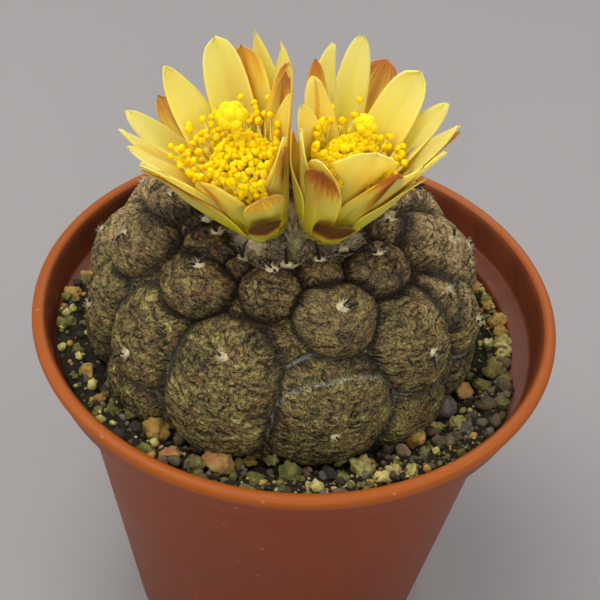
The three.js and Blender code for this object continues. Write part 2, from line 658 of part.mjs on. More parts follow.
function makeSoil() {
  const top = SOIL_LEVEL;
  const wide = POT_RIM_RADIUS;
  const slab = lathe([[0, 0], [wide, 0], [wide, top], [38.5, top], [33, top], [0, top]], ROUND_SEGMENTS);
  const position = slab.attributes.position;
  for (let i = 0; i < position.count; i += 1) {
    if (position.getZ(i) > top - 0.01) {
      const [x, y] = [position.getX(i), position.getY(i)];
      position.setZ(i, Math.hypot(x, y) < 1 ? top - SOIL_DIP : soilHeight(x, y));
    }
  }
  const grains = [];
  for (let i = 0; i < GRAIN_COUNT; i += 1) {
    grains.push(grain(i));
  }
  return mainBody(joined([solidOf(slab), ...grains]).intersect(potFilling()).subtract(plantRoom()));
}

// Whole object

function piece(name, solid, color, roughness) {
  const material = new THREE.MeshStandardMaterial({ color, roughness, metalness: 0 });
  const mesh = new THREE.Mesh(geometryOf(solid), material);
  mesh.name = name;
  return mesh;
}

const left = makeBloom(LEFT_BLOOM, LEFT_INNER, LEFT_OUTER, 500);
const right = makeBloom(RIGHT_BLOOM, RIGHT_INNER, RIGHT_OUTER, 700);

function makePlant() {
  const areoles = tubercles.filter((tubercle) => tubercle.down < AREOLE_LOWEST_DOWN).flatMap(areole);
  const grown = joined([plantSkin(), tapRoot(), ...crownWool(), ...areoles]);
  return mainBody(grown.subtract(left.socket).subtract(right.socket));
}

const group = new THREE.Group();
group.add(piece('pot', makePot(), 0xa04a26, 0.42));
group.add(piece('soil', makeSoil(), 0x2c241c, 0.95));
group.add(piece('plant_body', makePlant(), 0x6b6444, 0.7));
[['left', left], ['right', right]].forEach(([side, bloom]) => {
  group.add(piece(`bloom_${side}_outer_tepals`, bloom.outer, 0xc0873a, 0.5));
  group.add(piece(`bloom_${side}_inner_tepals`, bloom.inner, 0xe9dc5c, 0.5));
  group.add(piece(`bloom_${side}_stamens`, bloom.stamens, 0xf4cf12, 0.6));
  group.add(piece(`bloom_${side}_style`, bloom.style, 0xf1dc2c, 0.6));
});

export default group;
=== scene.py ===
"""Dresses a potted Copiapoa hypogaea in bloom: pot, gritty soil, wrinkled plant, woolly crown and two blooms."""

import math

import bmesh
import bpy
import numpy as np
from mathutils import Matrix, Vector, noise


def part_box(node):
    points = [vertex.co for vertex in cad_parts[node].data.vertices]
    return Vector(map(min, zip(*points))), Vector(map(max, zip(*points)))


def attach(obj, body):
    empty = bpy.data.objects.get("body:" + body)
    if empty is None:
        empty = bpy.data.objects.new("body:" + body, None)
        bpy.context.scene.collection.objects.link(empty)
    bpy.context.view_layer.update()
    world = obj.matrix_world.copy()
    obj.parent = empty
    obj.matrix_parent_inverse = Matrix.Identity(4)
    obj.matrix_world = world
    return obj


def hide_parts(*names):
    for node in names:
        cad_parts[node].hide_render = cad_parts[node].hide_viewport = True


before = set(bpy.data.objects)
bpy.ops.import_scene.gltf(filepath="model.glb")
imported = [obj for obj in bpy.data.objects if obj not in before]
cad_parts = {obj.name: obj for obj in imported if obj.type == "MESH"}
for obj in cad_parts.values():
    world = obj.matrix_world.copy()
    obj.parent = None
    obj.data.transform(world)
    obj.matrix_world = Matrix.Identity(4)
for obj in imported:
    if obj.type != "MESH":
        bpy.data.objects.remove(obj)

bl_info = {
    "name": "Potted Copiapoa",
    "version": (1, 0, 0),
    "blender": (4, 5, 0),
    "location": "View3D > Sidebar > Potted Copiapoa",
    "description": "Builds a potted Copiapoa hypogaea in bloom, piece by piece",
    "category": "Add Mesh",
}

MM = 0.001
# Small things that are made in one bmesh before it is moved into the piece's
BATCH = 40
# A full turn, and the turn from one neighbour to the next in a growth spiral, in radians and in degrees
ROUND = 6.2832
GOLDEN_TURN = 2.39996
GOLDEN_DEGREES = 137.508

# The pot's wall, as radius and height in millimetres, up the outside and down the inside
POT_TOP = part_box("pot")[1].z / MM
POT_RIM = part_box("pot")[1].x / MM
POT_PROFILE = [
    (28.0, 0), (29.1, 1.0), (38.9, 67.4), (42.7, 67.4), (43.95, 72.6), (44.6, 72.75), (POT_RIM, POT_TOP - 1.1),
    (44.5, POT_TOP - 0.1), (43.2, POT_TOP), (42.4, POT_TOP - 0.9), (41.5, 68.6), (37.9, 68.2), (28.4, 2.2),
    (27.4, 1.6),
]
# Rounding in millimetres at some of those points, by their number, and the first point of the
# inside, counted from the middle of the underside
POT_ROUNDED = {2: 0.35, 3: 0.5, 4: 0.12, 5: 0.3, 6: 0.55, 7: 0.45, 8: 0.5, 9: 0.5, 10: 0.5, 11: 0.5}
POT_INSIDE_FROM = 10
# Heights in millimetres over which the body's colour turns into the lip's, which is painted brighter as light from
# above
LIP_BAND = (72.5, 73.1)
# Drain holes: their number, radius and the radius of the circle that they are on
DRAIN_HOLES = 6
DRAIN_RADIUS = 3.2
DRAIN_CIRCLE = 19.0

# The soil, in millimetres: its greatest height at the wall, how much lower it is opposite, the direction of the
# high side, the dip round the plant, the outer side as radius and height, and the inner and outer radius of the top
SOIL_LEVEL = 70.4
SOIL_FALL = 4.6
SOIL_HIGH_SIDE = math.radians(-105)
SOIL_DIP = 3.2
SOIL_WALL = [(27.3, 1.9), (28.0, 2.8), (37.4, 68.0)]
SOIL_REACH = (22.0, 41.0)
# Heights and radii of the pot's inside that soil and grit keep within
WALL_HEIGHTS = (2.2, 68.2, 69.0)
WALL_RADII = (28.0, 37.6, 41.1)

# Rings and steps of the soil's top
SOIL_RINGS = 64
SOIL_STEPS = 300

# Stones that stand out in the soil: place on it, half size in millimetres and number of its kind
STONES = [
    (-20.8, -27.5, 2.0, 0), (-10.0, -34.5, 2.3, 1), (-17.6, -33.6, 1.5, 1), (-5.3, -32.0, 1.2, 0),
    (-2.2, -30.7, 1.4, 2), (1.2, -35.4, 2.0, 3), (-7.7, -36.3, 0.9, 3), (4.3, -37.1, 0.9, 2),
    (8.8, -29.7, 1.1, 2), (12.7, -32.6, 2.1, 2), (17.1, -33.0, 1.2, 2), (19.8, -34.0, 1.1, 2),
    (16.5, -26.5, 1.1, 4), (18.8, -27.7, 1.2, 5), (21.0, -24.5, 1.7, 0), (23.8, -20.8, 0.8, 2),
    (25.3, -20.6, 0.8, 2), (27.9, -21.0, 1.5, 2), (29.2, -22.2, 1.4, 6), (25.6, -17.0, 2.1, 6),
    (29.4, -12.2, 1.4, 1), (32.8, -11.6, 1.4, 3), (34.5, -7.9, 2.0, 3), (34.7, 0.0, 1.4, 2),
    (36.9, -1.0, 1.8, 2), (39.2, 1.8, 1.5, 0), (38.2, 5.1, 1.8, 0), (38.7, -4.0, 1.4, 2), (35.5, -4.9, 1.1, 2),
    (36.2, -12.9, 1.5, 4), (32.8, -17.0, 1.4, 4), (30.0, -19.5, 1.2, 4), (24.7, -26.1, 1.4, 4),
    (22.3, -28.5, 1.2, 3), (27.2, -25.0, 1.2, 4), (35.4, -17.6, 1.1, 3), (-30.4, -23.1, 1.1, 1),
    (-28.0, -25.3, 1.4, 3), (-27.6, -22.2, 1.1, 7), (-33.3, -17.8, 1.2, 0), (-36.0, -12.2, 1.2, 3),
    (-38.7, -5.4, 1.2, 3), (-40.0, 2.1, 1.4, 0), (-39.5, 7.6, 1.2, 1), (-38.0, 14.4, 1.2, 0),
    (-39.8, -3.0, 0.9, 4), (-23.7, -29.3, 1.1, 7), (-13.4, -36.1, 1.2, 3), (-4.1, -36.9, 1.1, 3),
    (7.3, -34.0, 1.2, 7), (35.6, 11.0, 1.4, 0), (34.7, 15.6, 1.2, 1), (33.6, 20.3, 1.1, 4),
    (15.0, -35.8, 0.9, 4), (10.4, -37.1, 0.8, 3),
]
# Kinds of stone: two tints that mingle on it and how crumbly it is
STONE_KINDS = [
    ((0.74, 0.43, 0.09), (0.36, 0.23, 0.05), 0.24), ((0.70, 0.29, 0.10), (0.42, 0.34, 0.09), 0.22),
    ((0.84, 0.68, 0.25), (0.50, 0.42, 0.08), 0.42), ((0.28, 0.24, 0.06), (0.10, 0.10, 0.020), 0.32),
    ((0.20, 0.13, 0.07), (0.085, 0.06, 0.03), 0.34), ((0.47, 0.29, 0.18), (0.30, 0.18, 0.10), 0.20),
    ((0.22, 0.18, 0.14), (0.11, 0.09, 0.07), 0.18), ((0.06, 0.05, 0.034), (0.03, 0.027, 0.015), 0.25),
]
# Flat places knocked off a stone
STONE_FLATS = 7
# Kinds that the small grains are drawn from
SMALL_KINDS = (2, 3, 4, 4, 0, 3, 7, 4, 6, 3, 2, 4, 1, 7, 0, 3)

# The plant: its axis, and the dome under the tubercles as radius and height over it, in millimetres
PLANT_X, PLANT_Y, PLANT_Z = -2.2, 0.0, 73.9
DOME = [
    (0, 15.4), (4, 15.6), (8, 16.4), (12, 17.0), (16, 16.8), (19.6, 15.6), (23.6, 12.4),
    (26.8, 7.8), (28.8, 3), (29.4, 0), (29.2, -4), (28, -8), (25.6, -12),
]
# How high the grooves are filled, how far down they reach that height, and over what length tubercles fade out
GROOVE_FILL = 2.0
GROOVE_FILL_DOWN = 30
SKIN_FADE = 5
# How far the tubercles lean down the dome, as a slope, at distances down from the crown
DROOP_DOWN = (8, 16, 34, 45)
DROOP_SLOPE = (0.1, 0.45, 0.25, 0.0)

# Tubercles in front: direction, distance down from the crown, half width, height, half length over half width,
# and how far the areole sits above the middle. Direction 0 faces the viewer and +90 points to +X.
FRONT_TUBERCLES = [
    (1.5, 13.6, 2.4, 2.6, 1, 0.5), (-27, 15.2, 2.5, 3.0, 0.9, 1.4), (43.5, 13.0, 2.6, 2.8, 1, 0.8),
    (22, 14.8, 4.1, 4.0, 0.8, 1.6), (-70, 14.4, 3.4, 3.4, 0.9, 1.4), (84, 15.8, 4.6, 3.8, 0.8, 1.2),
    (-51, 14.7, 4.8, 4.4, 0.8, 1.6), (-6, 17.6, 4.9, 5.2, 0.95, 2.6), (-38, 20.3, 6.2, 5.8, 0.8, 2.5),
    (22, 21.6, 6.8, 6.0, 0.84, 1.8), (51, 17.4, 5.8, 5.4, 0.8, 1.9), (-77, 22.8, 7.2, 5.4, 0.9, 0),
    (-90, 17.6, 6.0, 5.0, 0.9, 1.5), (86, 22.4, 7.2, 5.6, 1, 0), (113, 19.8, 6.0, 5.0, 1, 1.5),
    (-16, 33.5, 9.6, 6.0, 1.3, 7.0), (-45, 30.8, 8.3, 5.4, 1.05, -1.4), (49, 29, 8.3, 5.4, 1.08, -0.6),
    (68.5, 27, 5.0, 4.4, 1.25, 1.5), (-71, 33.6, 7.6, 4.9, 1, 0), (77, 33.8, 7.2, 4.9, 1, 0),
    (16.5, 36.2, 11.4, 4.9, 0.96, -0.4), (-47, 42, 8.0, 4.6, 0.9, 0), (45.5, 41.4, 8.4, 4.6, 0.9, 0),
]
# Rings of tubercles on the far side: from, to, count, distance down, radius, height
FAR_RINGS = [
    (84, 290, 4, 13.5, 4.3, 3.8), (113, 270, 5, 21.0, 6.3, 5.2),
    (77, 289, 7, 31.5, 8.2, 5.2), (45.5, 313, 8, 42, 8.2, 4.4),
]
FAR_AREOLE_RISE = 1.2
AREOLE_LOWEST_DOWN = 39
# The raised oval on the front tubercle: direction, distance down, half width and half length, and its height
OVAL_TUBERCLE = 21
OVAL = (18, 32.6, 8.2, 3.8)
OVAL_HEIGHT = 0.45

# Taproot under the dome, as radius and height over the dome's foot
ROOT = [(21, -12), (13, -20), (8, -38), (1.2, -62), (0, -63)]

# The woolly crown: its middle, radius and number of tufts
CROWN = (-1.6, -6.4, 91.6)
CROWN_RADIUS = 5.6
CROWN_TUFTS = 12
# Hairs in an areole's tuft, tufts round a bloom's tube, and hairs on the bud
AREOLE_HAIRS = 75
COLLAR_TUFTS = 16
BUD_HAIRS = 150
# Radius of each kind of strand at its foot and at its tip, in millimetres
TUFT_HAIR, WISP = (0.055, 0.02), (0.05, 0.02)
CROWN_HAIR, BUD_HAIR = (0.038, 0.018), (0.035, 0.015)
SPINE, FILAMENT, STYLE = (0.36, 0.15), (0.11, 0.08), (0.75, 0.65)
# Numbers of the crown's materials
FELT, SCALES, CREAM = 0, 1, 2
# Spines that the photograph shows, for the tubercle of each number in the list above:
# how far each points sideways, down and outwards, and its length in millimetres
SHOWN_SPINES = {
    0: [(0.03, -0.25, 0.97, 4.8)], 1: [(0.10, -0.25, 0.95, 3.4), (-0.50, -0.3, 0.8, 2.2)],
    2: [(0.9, 0.35, 0.3, 1.4)], 3: [(0.28, -0.25, 0.93, 5.6), (-0.6, 0.2, 0.5, 1.2)],
    6: [(-0.55, -0.3, 0.8, 3.6), (0.05, -0.3, 0.9, 2.6)],
    7: [(-0.6, -0.2, 0.5, 1.4), (0.5, 0.5, 0.4, 1.2)],
    8: [(0.15, -0.8, 0.5, 3.0), (-1, 0.0, 0.35, 3.0), (-0.6, 0.5, 0.35, 1.4)],
    9: [(0.95, 0.1, 0.35, 2.6), (0.5, -0.2, 0.5, 1.4)],
    10: [(-0.9, -0.2, 0.35, 3.0), (0.95, 0.1, 0.35, 2.8), (0, -0.8, 0.5, 2.4)],
    15: [(-0.5, -0.4, 0.4, 1.0)], 21: [(0.4, 0.5, 0.3, 0.9)],
}
# Hairy young bud between the blooms: foot, height and half width
BUD = (-0.9, -10.2, 89.6, 9.6, 1.7)

# Blooms: foot, sideways lean of the axis in degrees, side of the plane where they press together, number of the
# first draw, wisps of wool round the tube, the stamens close round the style as radius, height and how fast they
# fall away from it, the stamens that stream along the front tepal, and half size of the stigma's knob
LEFT_BLOOM = {
    "name": "bloom_left", "foot": (-5.5, -6.5, 93.9), "lean": -16, "side": -1, "draw": 500, "wisps": 1300,
    "close": (6.6, 18.4, 0.13), "stream": 60, "knob": 1.15,
}
RIGHT_BLOOM = {
    "name": "bloom_right", "foot": (2.8, -6.3, 93.9), "lean": 14, "side": 1, "draw": 700, "wisps": 600,
    "close": (5.0, 20.2, 0.24), "stream": 0, "knob": 0.85,
}
# Height and sideways place of the slanted plane where the blooms press together, how far the right one may pass
# it, and the distance over which a point is eased back from it
MEETING_HEIGHTS = (97, 108)
MEETING_PLACES = (-1.45, -2.5)
MEETING_PASS = 0.55
MEETING_EASE = 0.8
# Outside of the flower tube as radius and height over the bloom's foot, its wall and its steps
TUBE_OUTER = [(0, -3.6), (2.3, -3.6), (2.8, -1.4), (3.7, 1.0), (4.3, 2.6)]
TUBE_WALL = 0.8
TUBE_STEPS = 40
# Root of the inner and the outer tepals: radius, height and least distance from the meeting plane
INNER_ROOT = (3.2, 1.8, 0.25)
OUTER_ROOT = (3.9, 1.6, 0.05)
# Height of the style, lobes of the stigma, and share of the stamens that are close round it
STYLE_TOP = 21.3
LOBES = 11
CLOSE_STAMENS = 0.7
# Width in millimetres over which a tepal's edges narrow the cup
WIDE_TEPAL = 8

# Tepals: direction, lean, length, greatest width, roundness of the tip, and how red-brown the mid-stripe,
# the tip and the edges are, from 0 for yellow to 1 for red-brown and more for darker; where the tip bends
# sideways, how far in millimetres
LEFT_INNER = [
    (-97, 39, 27.5, 5.4, 0.1, 0, 0, 0), (-113, 41, 28, 7.4, 0.35, 0, 0, 0),
    (-136, 30, 30, 7.8, 0.3, 0.1, 0.2, 0), (-170, 27, 31, 8.0, 0.85, 0, 0, 0),
    (164, 36, 30.8, 6.2, 0, 0, 0.4, 0.2, 2.7), (150, 34, 29, 6.2, 0, 0, 0.1, 0.4, 1.6),
    (124, 24, 27.5, 7.0, 0.3, 0.1, 0.3, 0.6), (86, 21, 26, 7.2, 0.4, 0.2, 0.2, 0.6),
    (48, 27, 24.5, 7.2, 0.45, 0, 0.2, 0.2),
    (23, 38, 17.5, 8.2, 0.9, 0, 0.75, 0, -1.0), (-21, 32, 22.5, 7.0, 0.45, 0.9, 0.5, 0),
    (-46, 33, 28, 7.6, 0.35, 0, 0.1, 0.3), (-68, 33, 27.5, 7.4, 0.4, 0, 0, 0),
]
LEFT_OUTER = [
    (-50, 35, 26.5, 7.2, 0.4, 0.1, 0.5, 1.0), (-90, 37, 24.5, 6.8, 0.4, 0.2, 0.4, 0.6),
    (-136, 47, 27.5, 7.2, 0.5, 0.8, 0.9, 0.8), (176, 31, 29, 8.6, 0.85, 0.9, 0.8, 0.1),
    (130, 23, 27, 6.4, 0.3, 0.9, 1, 0.7), (46, 28, 23, 5.2, 0.5, 1.1, 1, 0.2),
    (14, 47, 12.5, 6.2, 0.9, 1, 1.6, 1.2),
]
RIGHT_INNER = [
    (-147, 34, 29.3, 7.4, 0.15, 0, 0.1, 0.1, -3.4), (-175, 35, 31.5, 6.8, 0.55, 0, 0, 0),
    (145, 22, 30, 8.6, 0.85, 0.1, 0, 0), (117, 25, 28.6, 7.4, 0.35, 0, 0.1, 0),
    (93, 26, 28.5, 6.6, 0.2, 0, 0.1, 0),
    (72, 27, 26.5, 6.8, 0.3, 0, 0.1, 0.1), (50, 26, 25, 7.6, 0.45, 0, 0.1, 0.2),
    (12, 18, 23.5, 12.4, 0.8, 0.25, 0, 0), (-32, 27, 22, 8.0, 0.6, 0.1, 0.2, 0.1),
    (-58, 27, 24.5, 7.8, 0.55, 0.1, 0.2, 0.2), (-82, 23, 25, 7.8, 0.5, 0, 0.2, 0.3),
    (-124, 22, 25.5, 7.8, 0.4, 0.6, 0.3, 0.2),
]
RIGHT_OUTER = [
    (-27, 31, 22, 7.8, 0.8, 0.7, 1.3, 0.2), (35, 25, 23, 7.2, 0.45, 1.2, 1.1, 0.5),
    (60, 30, 23, 6.6, 0.4, 0.2, 0.3, 0.5), (97, 29, 27.5, 6.2, 0.3, 0.5, 0.9, 0.5),
    (170, 48, 30.5, 8.6, 0.85, 0.9, 1, 0.2), (-142, 30, 27, 6.0, 0.2, 0.9, 1, 0.8),
    (-72, 30, 23, 6.8, 0.4, 0.5, 0.6, 0.4), (5, 43, 12.5, 7.0, 0.9, 1, 1.5, 1.2),
]

# Lights: name, place in metres and power as a share of the key's; then the side of each square light, the height
# on the pot's axis that it faces, and the colour of the light from all round
LIGHTS = [
    ("key", (-0.20, 0.02, 0.72), 1), ("side", (0.55, -0.15, 0.50), 0.45), ("left", (-0.62, -0.10, 0.36), 0.36),
    ("back", (0.10, 0.60, 0.55), 0.43), ("front", (0.05, -0.70, 0.35), 0.70),
]
LIGHT_SIZE = 0.5
LIGHT_AIM = 0.07
SKY = (0.86, 0.88, 0.92, 1)
FLOOR_HALF_SIZE = 2.5
# The photograph's camera: place in metres, tilt, turn and roll in radians, and focal length over frame width;
# the lens is given for a sensor of this width in millimetres
SENSOR_WIDTH = 36
CAMERA_PLACE = (0, -0.1544038, 0.21366)
CAMERA_PITCH = 0.735288
CAMERA_YAW = 0.0042816
CAMERA_ROLL = 0.0805954
FOCAL_LENGTHS = 1203.234 / 600


# Helpers for chance, meshes and pieces


def chance(n):
    """Repeatable draw between 0 and 1 for the nth choice, as in the part's source."""
    wave = math.sin(n * 127.1 + 311.7) * 43758.5453
    return wave - math.floor(wave)


def finished_mesh(name, bm):
    """Mesh of a finished bmesh, which is freed."""
    mesh = bpy.data.meshes.new(name)
    bm.to_mesh(mesh)
    bm.free()
    return mesh


def new_object(name, data):
    """Object in the scene with a mesh, a light or a camera."""
    made = bpy.data.objects.new(name, data)
    bpy.context.scene.collection.objects.link(made)
    return made


def new_piece(name, bm, materials, node=None):
    """Makes an object of a finished bmesh, lets it ride on the part, and hides the node that it stands for."""
    mesh = finished_mesh(name, bm)
    mesh.shade_smooth()
    for material in materials:
        mesh.materials.append(material)
    piece = new_object(name, mesh)
    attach(piece, "root")
    if node:
        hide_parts(node)
    return piece


def turn_round(bm, geometry, steps):
    """Turns a profile once round the z axis."""
    bmesh.ops.spin(bm, geom=geometry, cent=(0, 0, 0), axis=(0, 0, 1), angle=2 * math.pi, steps=steps,
                   use_merge=True)


def close_wall(bm, geometry, steps):
    """Turns a profile into a closed wall, with its poles merged."""
    turn_round(bm, geometry, steps)
    bmesh.ops.remove_doubles(bm, verts=bm.verts, dist=1e-6)
    bmesh.ops.recalc_face_normals(bm, faces=bm.faces)


def marked_profile(layer, profile, marks):
    """Bmesh with a profile of radius and height, in millimetres, and a number at each point, and its vertices."""
    bm = bmesh.new()
    store = bm.verts.layers.float.new(layer)
    ring = [bm.verts.new((radius * MM, 0, height * MM)) for radius, height in profile]
    for vert, mark in zip(ring, marks):
        vert[store] = mark
    for pair in zip(ring, ring[1:]):
        bm.edges.new(pair)
    return bm, ring


def spun(profile, steps, marks, layer):
    """Bmesh of a closed wall turned about the z axis, with its number at each point."""
    bm, ring = marked_profile(layer, profile, marks)
    close_wall(bm, ring + bm.edges[:], steps)
    return bm


def gather(bm, part):
    """Moves a small finished bmesh into a large one, because operators slow down as a bmesh grows."""
    mesh = finished_mesh("part", part)
    bm.from_mesh(mesh)
    bpy.data.meshes.remove(mesh)


def gather_many(bm, count, add):
    """Adds many small things to a large bmesh, batch by batch."""
    for first in range(0, count, BATCH):
        part = bmesh.new()
        for i in range(first, min(first + BATCH, count)):
            add(part, i)
        gather(bm, part)


def add_ball(bm, place, shape, fineness, lumps, scale, octaves=0, material=0):
    """Adds a ball of a shape, roughened by noise about its place, in one of the piece's materials."""
    made = bmesh.ops.create_icosphere(bm, subdivisions=fineness, radius=1, matrix=shape)["verts"]
    for vert in made:
        rough = noise.fractal(vert.co * scale, 0.7, 2.0, octaves) if octaves else noise.noise(vert.co * scale)
        vert.co += (vert.co - place) * lumps * rough
    for face in {face for vert in made for face in vert.link_faces}:
        face.material_index = material


def sized(*size):
    """Matrix that stretches by sizes in millimetres along the three axes."""
    return Matrix.Diagonal((*(number * MM for number in size), 1))


def turned_to(direction):
    """Rotation that takes +Z to a direction."""
    return Vector((0, 0, 1)).rotation_difference(direction).to_matrix().to_4x4()


def add_strand(bm, points, radii, sides=3, material=0):
    """Adds a thin tapered strand through a list of points: a ring extruded from point to point."""
    foot_radius, tip_radius = (radius * MM for radius in radii)
    start = Matrix.Translation(points[0]) @ turned_to(points[1] - points[0])
    made = bmesh.ops.create_circle(bm, cap_ends=False, segments=sides, radius=foot_radius, matrix=start)
    ring = made["verts"]
    faces = [bm.faces.new(ring)]
    edges = list(faces[0].edges)
    for i in range(1, len(points)):
        moved = bmesh.ops.extrude_edge_only(bm, edges=edges)["geom"]
        ring = [item for item in moved if isinstance(item, bmesh.types.BMVert)]
        edges = [item for item in moved if isinstance(item, bmesh.types.BMEdge)]
        edges = [edge for edge in edges if edge.verts[0] in ring and edge.verts[1] in ring]
        middle = sum((vert.co for vert in ring), Vector()) / len(ring)
        radius = foot_radius + (tip_radius - foot_radius) * i / (len(points) - 1)
        scale = radius / max((ring[0].co - middle).length, 1e-9)
        for vert in ring:
            vert.co = points[i] + (vert.co - middle) * scale
        faces += [item for item in moved if isinstance(item, bmesh.types.BMFace)]
    faces.append(bmesh.ops.contextual_create(bm, geom=edges)["faces"][0])
    for face in faces:
        face.material_index = material


# Helpers for materials


def add_node(tree, kind, settings=None, **sockets):
    """Adds a shader node; settings are its own values, sockets are numbers, colours or sockets to link."""
    made = tree.nodes.new("ShaderNode" + kind)
    for key, value in (settings or {}).items():
        setattr(made, key, value)
    for key, value in sockets.items():
        socket = made.inputs[key.replace("_", " ")] if not key.startswith("in") else made.inputs[int(key[2:])]
        if isinstance(value, bpy.types.NodeSocket):
            tree.links.new(value, socket)
        else:
            socket.default_value = value
    return made


def new_material(name, roughness=0.6, **sockets):
    """Material with a Principled shader; returns the material, its tree and the shader."""
    material = bpy.data.materials.new(name)
    material.use_nodes = True
    shader = material.node_tree.nodes["Principled BSDF"]
    shader.inputs["Roughness"].default_value = roughness
    for key, value in sockets.items():
        shader.inputs[key.replace("_", " ")].default_value = value
    return material, material.node_tree, shader


def object_place(tree, scale=(1, 1, 1)):
    """Object coordinates, stretched by a scale."""
    coordinates = add_node(tree, "TexCoord")
    return add_node(tree, "Mapping", Vector=coordinates.outputs["Object"], Scale=scale).outputs[0]


def noise_of(tree, vector, scale, detail=4.0, roughness=0.55):
    """Noise as a number from 0 to 1."""
    made = add_node(tree, "TexNoise", Vector=vector, Scale=scale, Detail=detail, Roughness=roughness)
    return made.outputs["Fac"]


def ramp(tree, value, stops):
    """Colour ramp through stops of place and colour."""
    made = add_node(tree, "ValToRGB", Fac=value)
    elements = made.color_ramp.elements
    while len(elements) < len(stops):
        elements.new(0.5)
    for element, (place, colour) in zip(elements, stops):
        element.position = place
        element.color = (*colour, 1) if len(colour) == 3 else colour
    return made.outputs["Color"]


def mixed(tree, share, first, second):
    """Mix of two colours by a share."""
    made = add_node(tree, "Mix", {"data_type": "RGBA"})
    for index, value in ((0, share), (6, first), (7, second)):
        if isinstance(value, bpy.types.NodeSocket):
            tree.links.new(value, made.inputs[index])
        else:
            made.inputs[index].default_value = value if index == 0 or len(value) == 4 else (*value, 1)
    return made.outputs[2]


def stretched(tree, value, low, high, to_low=0.0, to_high=1.0):
    """Number moved from one range to another and held inside it."""
    made = add_node(tree, "MapRange", in0=value, in1=low, in2=high, in3=to_low, in4=to_high)
    return made.outputs[0]


def calculated(tree, operation, first, second=0.0):
    """Sum or other arithmetic of two numbers."""
    return add_node(tree, "Math", {"operation": operation}, in0=first, in1=second).outputs[0]


def product(tree, first, second):
    """Product of two numbers."""
    return calculated(tree, "MULTIPLY", first, second)


def larger(tree, first, second):
    """Larger of two numbers."""
    return calculated(tree, "MAXIMUM", first, second)


def covered(tree, base, share, amount, colour):
    """Colour covered by a second one, as far as a share times an amount goes."""
    return mixed(tree, product(tree, share, amount), base, colour)


def patches(tree, vector, scale, detail, low, high, roughness=0.55):
    """Soft-edged patches of noise, from 0 outside to 1 inside."""
    return stretched(tree, noise_of(tree, vector, scale, detail, roughness), low, high)


def attribute(tree, name, output="Fac"):
    """A value that the mesh carries at its vertices."""
    return add_node(tree, "Attribute", {"attribute_name": name}).outputs[output]


def relief(tree, shader, height, strength, distance, below=None):
    """Bump on a shader from a height, over another bump if there is one below."""
    made = add_node(tree, "Bump", Height=height, Strength=strength, Distance=distance)
    if below:
        tree.links.new(below, made.inputs["Normal"])
    tree.links.new(made.outputs[0], shader.inputs["Normal"])
    return made.outputs[0]


def dimmed(colour, share):
    """Colour at a share of its brightness."""
    return [channel * share for channel in colour]


def colour_in(tree, shader, colour):
    """Links a colour to the shader."""
    tree.links.new(colour, shader.inputs["Base Color"])


# Forms of the plant


def dome_table():
    """Fine table of distance down, radius and height along a smooth curve through the dome's points."""
    points = np.array(DOME, float)
    steps = np.hypot(*np.diff(points, axis=0).T)
    lengths = np.concatenate([[0], np.cumsum(steps)])
    padded = np.vstack([2 * points[0] - points[1], points, 2 * points[-1] - points[-2]])
    gaps = np.sqrt(np.hypot(*np.diff(padded, axis=0).T))
    rows = []
    for i in range(len(points) - 1):
        before, start, end, after = padded[i:i + 4]
        d0, d1, d2 = gaps[i:i + 3]
        slope_in = ((start - before) / d0 - (end - before) / (d0 + d1) + (end - start) / d1) * d1
        slope_out = ((end - start) / d1 - (after - start) / (d1 + d2) + (after - end) / d2) * d1
        for t in np.linspace(0, 1, 24, endpoint=i == len(points) - 2):
            place = (start + slope_in * t + (3 * (end - start) - 2 * slope_in - slope_out) * t ** 2
                     + (2 * (start - end) + slope_in + slope_out) * t ** 3)
            rows.append((lengths[i] + t * (lengths[i + 1] - lengths[i]), *place))
    return np.array(rows).T


DOWN_TABLE, RADIUS_TABLE, HEIGHT_TABLE = dome_table()
DOME_LENGTH = DOWN_TABLE[-1]


def dome(down):
    """Radius and height of the dome at distances down from the crown."""
    return np.interp(down, DOWN_TABLE, RADIUS_TABLE), np.interp(down, DOWN_TABLE, HEIGHT_TABLE)


def dome_frame(direction, down):
    """Points of the dome and the unit vectors out of it and down it."""
    angle = np.radians(direction)
    radius, height = dome(down)
    above, below = dome(np.maximum(down - 0.4, 0)), dome(np.minimum(down + 0.4, DOME_LENGTH))
    run, drop = below[0] - above[0], below[1] - above[1]
    size = np.hypot(run, drop)
    run, drop = run / size, drop / size
    outward = np.stack([np.sin(angle), -np.cos(angle), np.zeros_like(angle)], 1)
    upward = np.array([0, 0, 1.0])
    place = outward * radius[:, None] + upward * height[:, None] + np.array([PLANT_X, PLANT_Y, PLANT_Z])
    slope = outward * run[:, None] + upward * drop[:, None]
    normal = -outward * drop[:, None] + upward * run[:, None]
    return place, normal, slope


def all_tubercles():
    """Rows of all tubercles: direction, distance down, half width, height, half length, areole's distance."""
    rows = list(FRONT_TUBERCLES)
    for ring, (start, end, count, down, radius, height) in enumerate(FAR_RINGS):
        for i in range(1, count + 1):
            draw = 10 * ring + i
            direction = start + (end - start) * i / (count + 1) + 5 * (chance(draw) - 0.5)
            middle = down + 1.6 * (chance(draw + 100) - 0.5)
            rows.append((direction, middle, radius, height, 1, FAR_AREOLE_RISE))
    return np.array([(d, w, r, h, r * stretch, w - rise) for d, w, r, h, stretch, rise in rows])


TUBERCLES = all_tubercles()


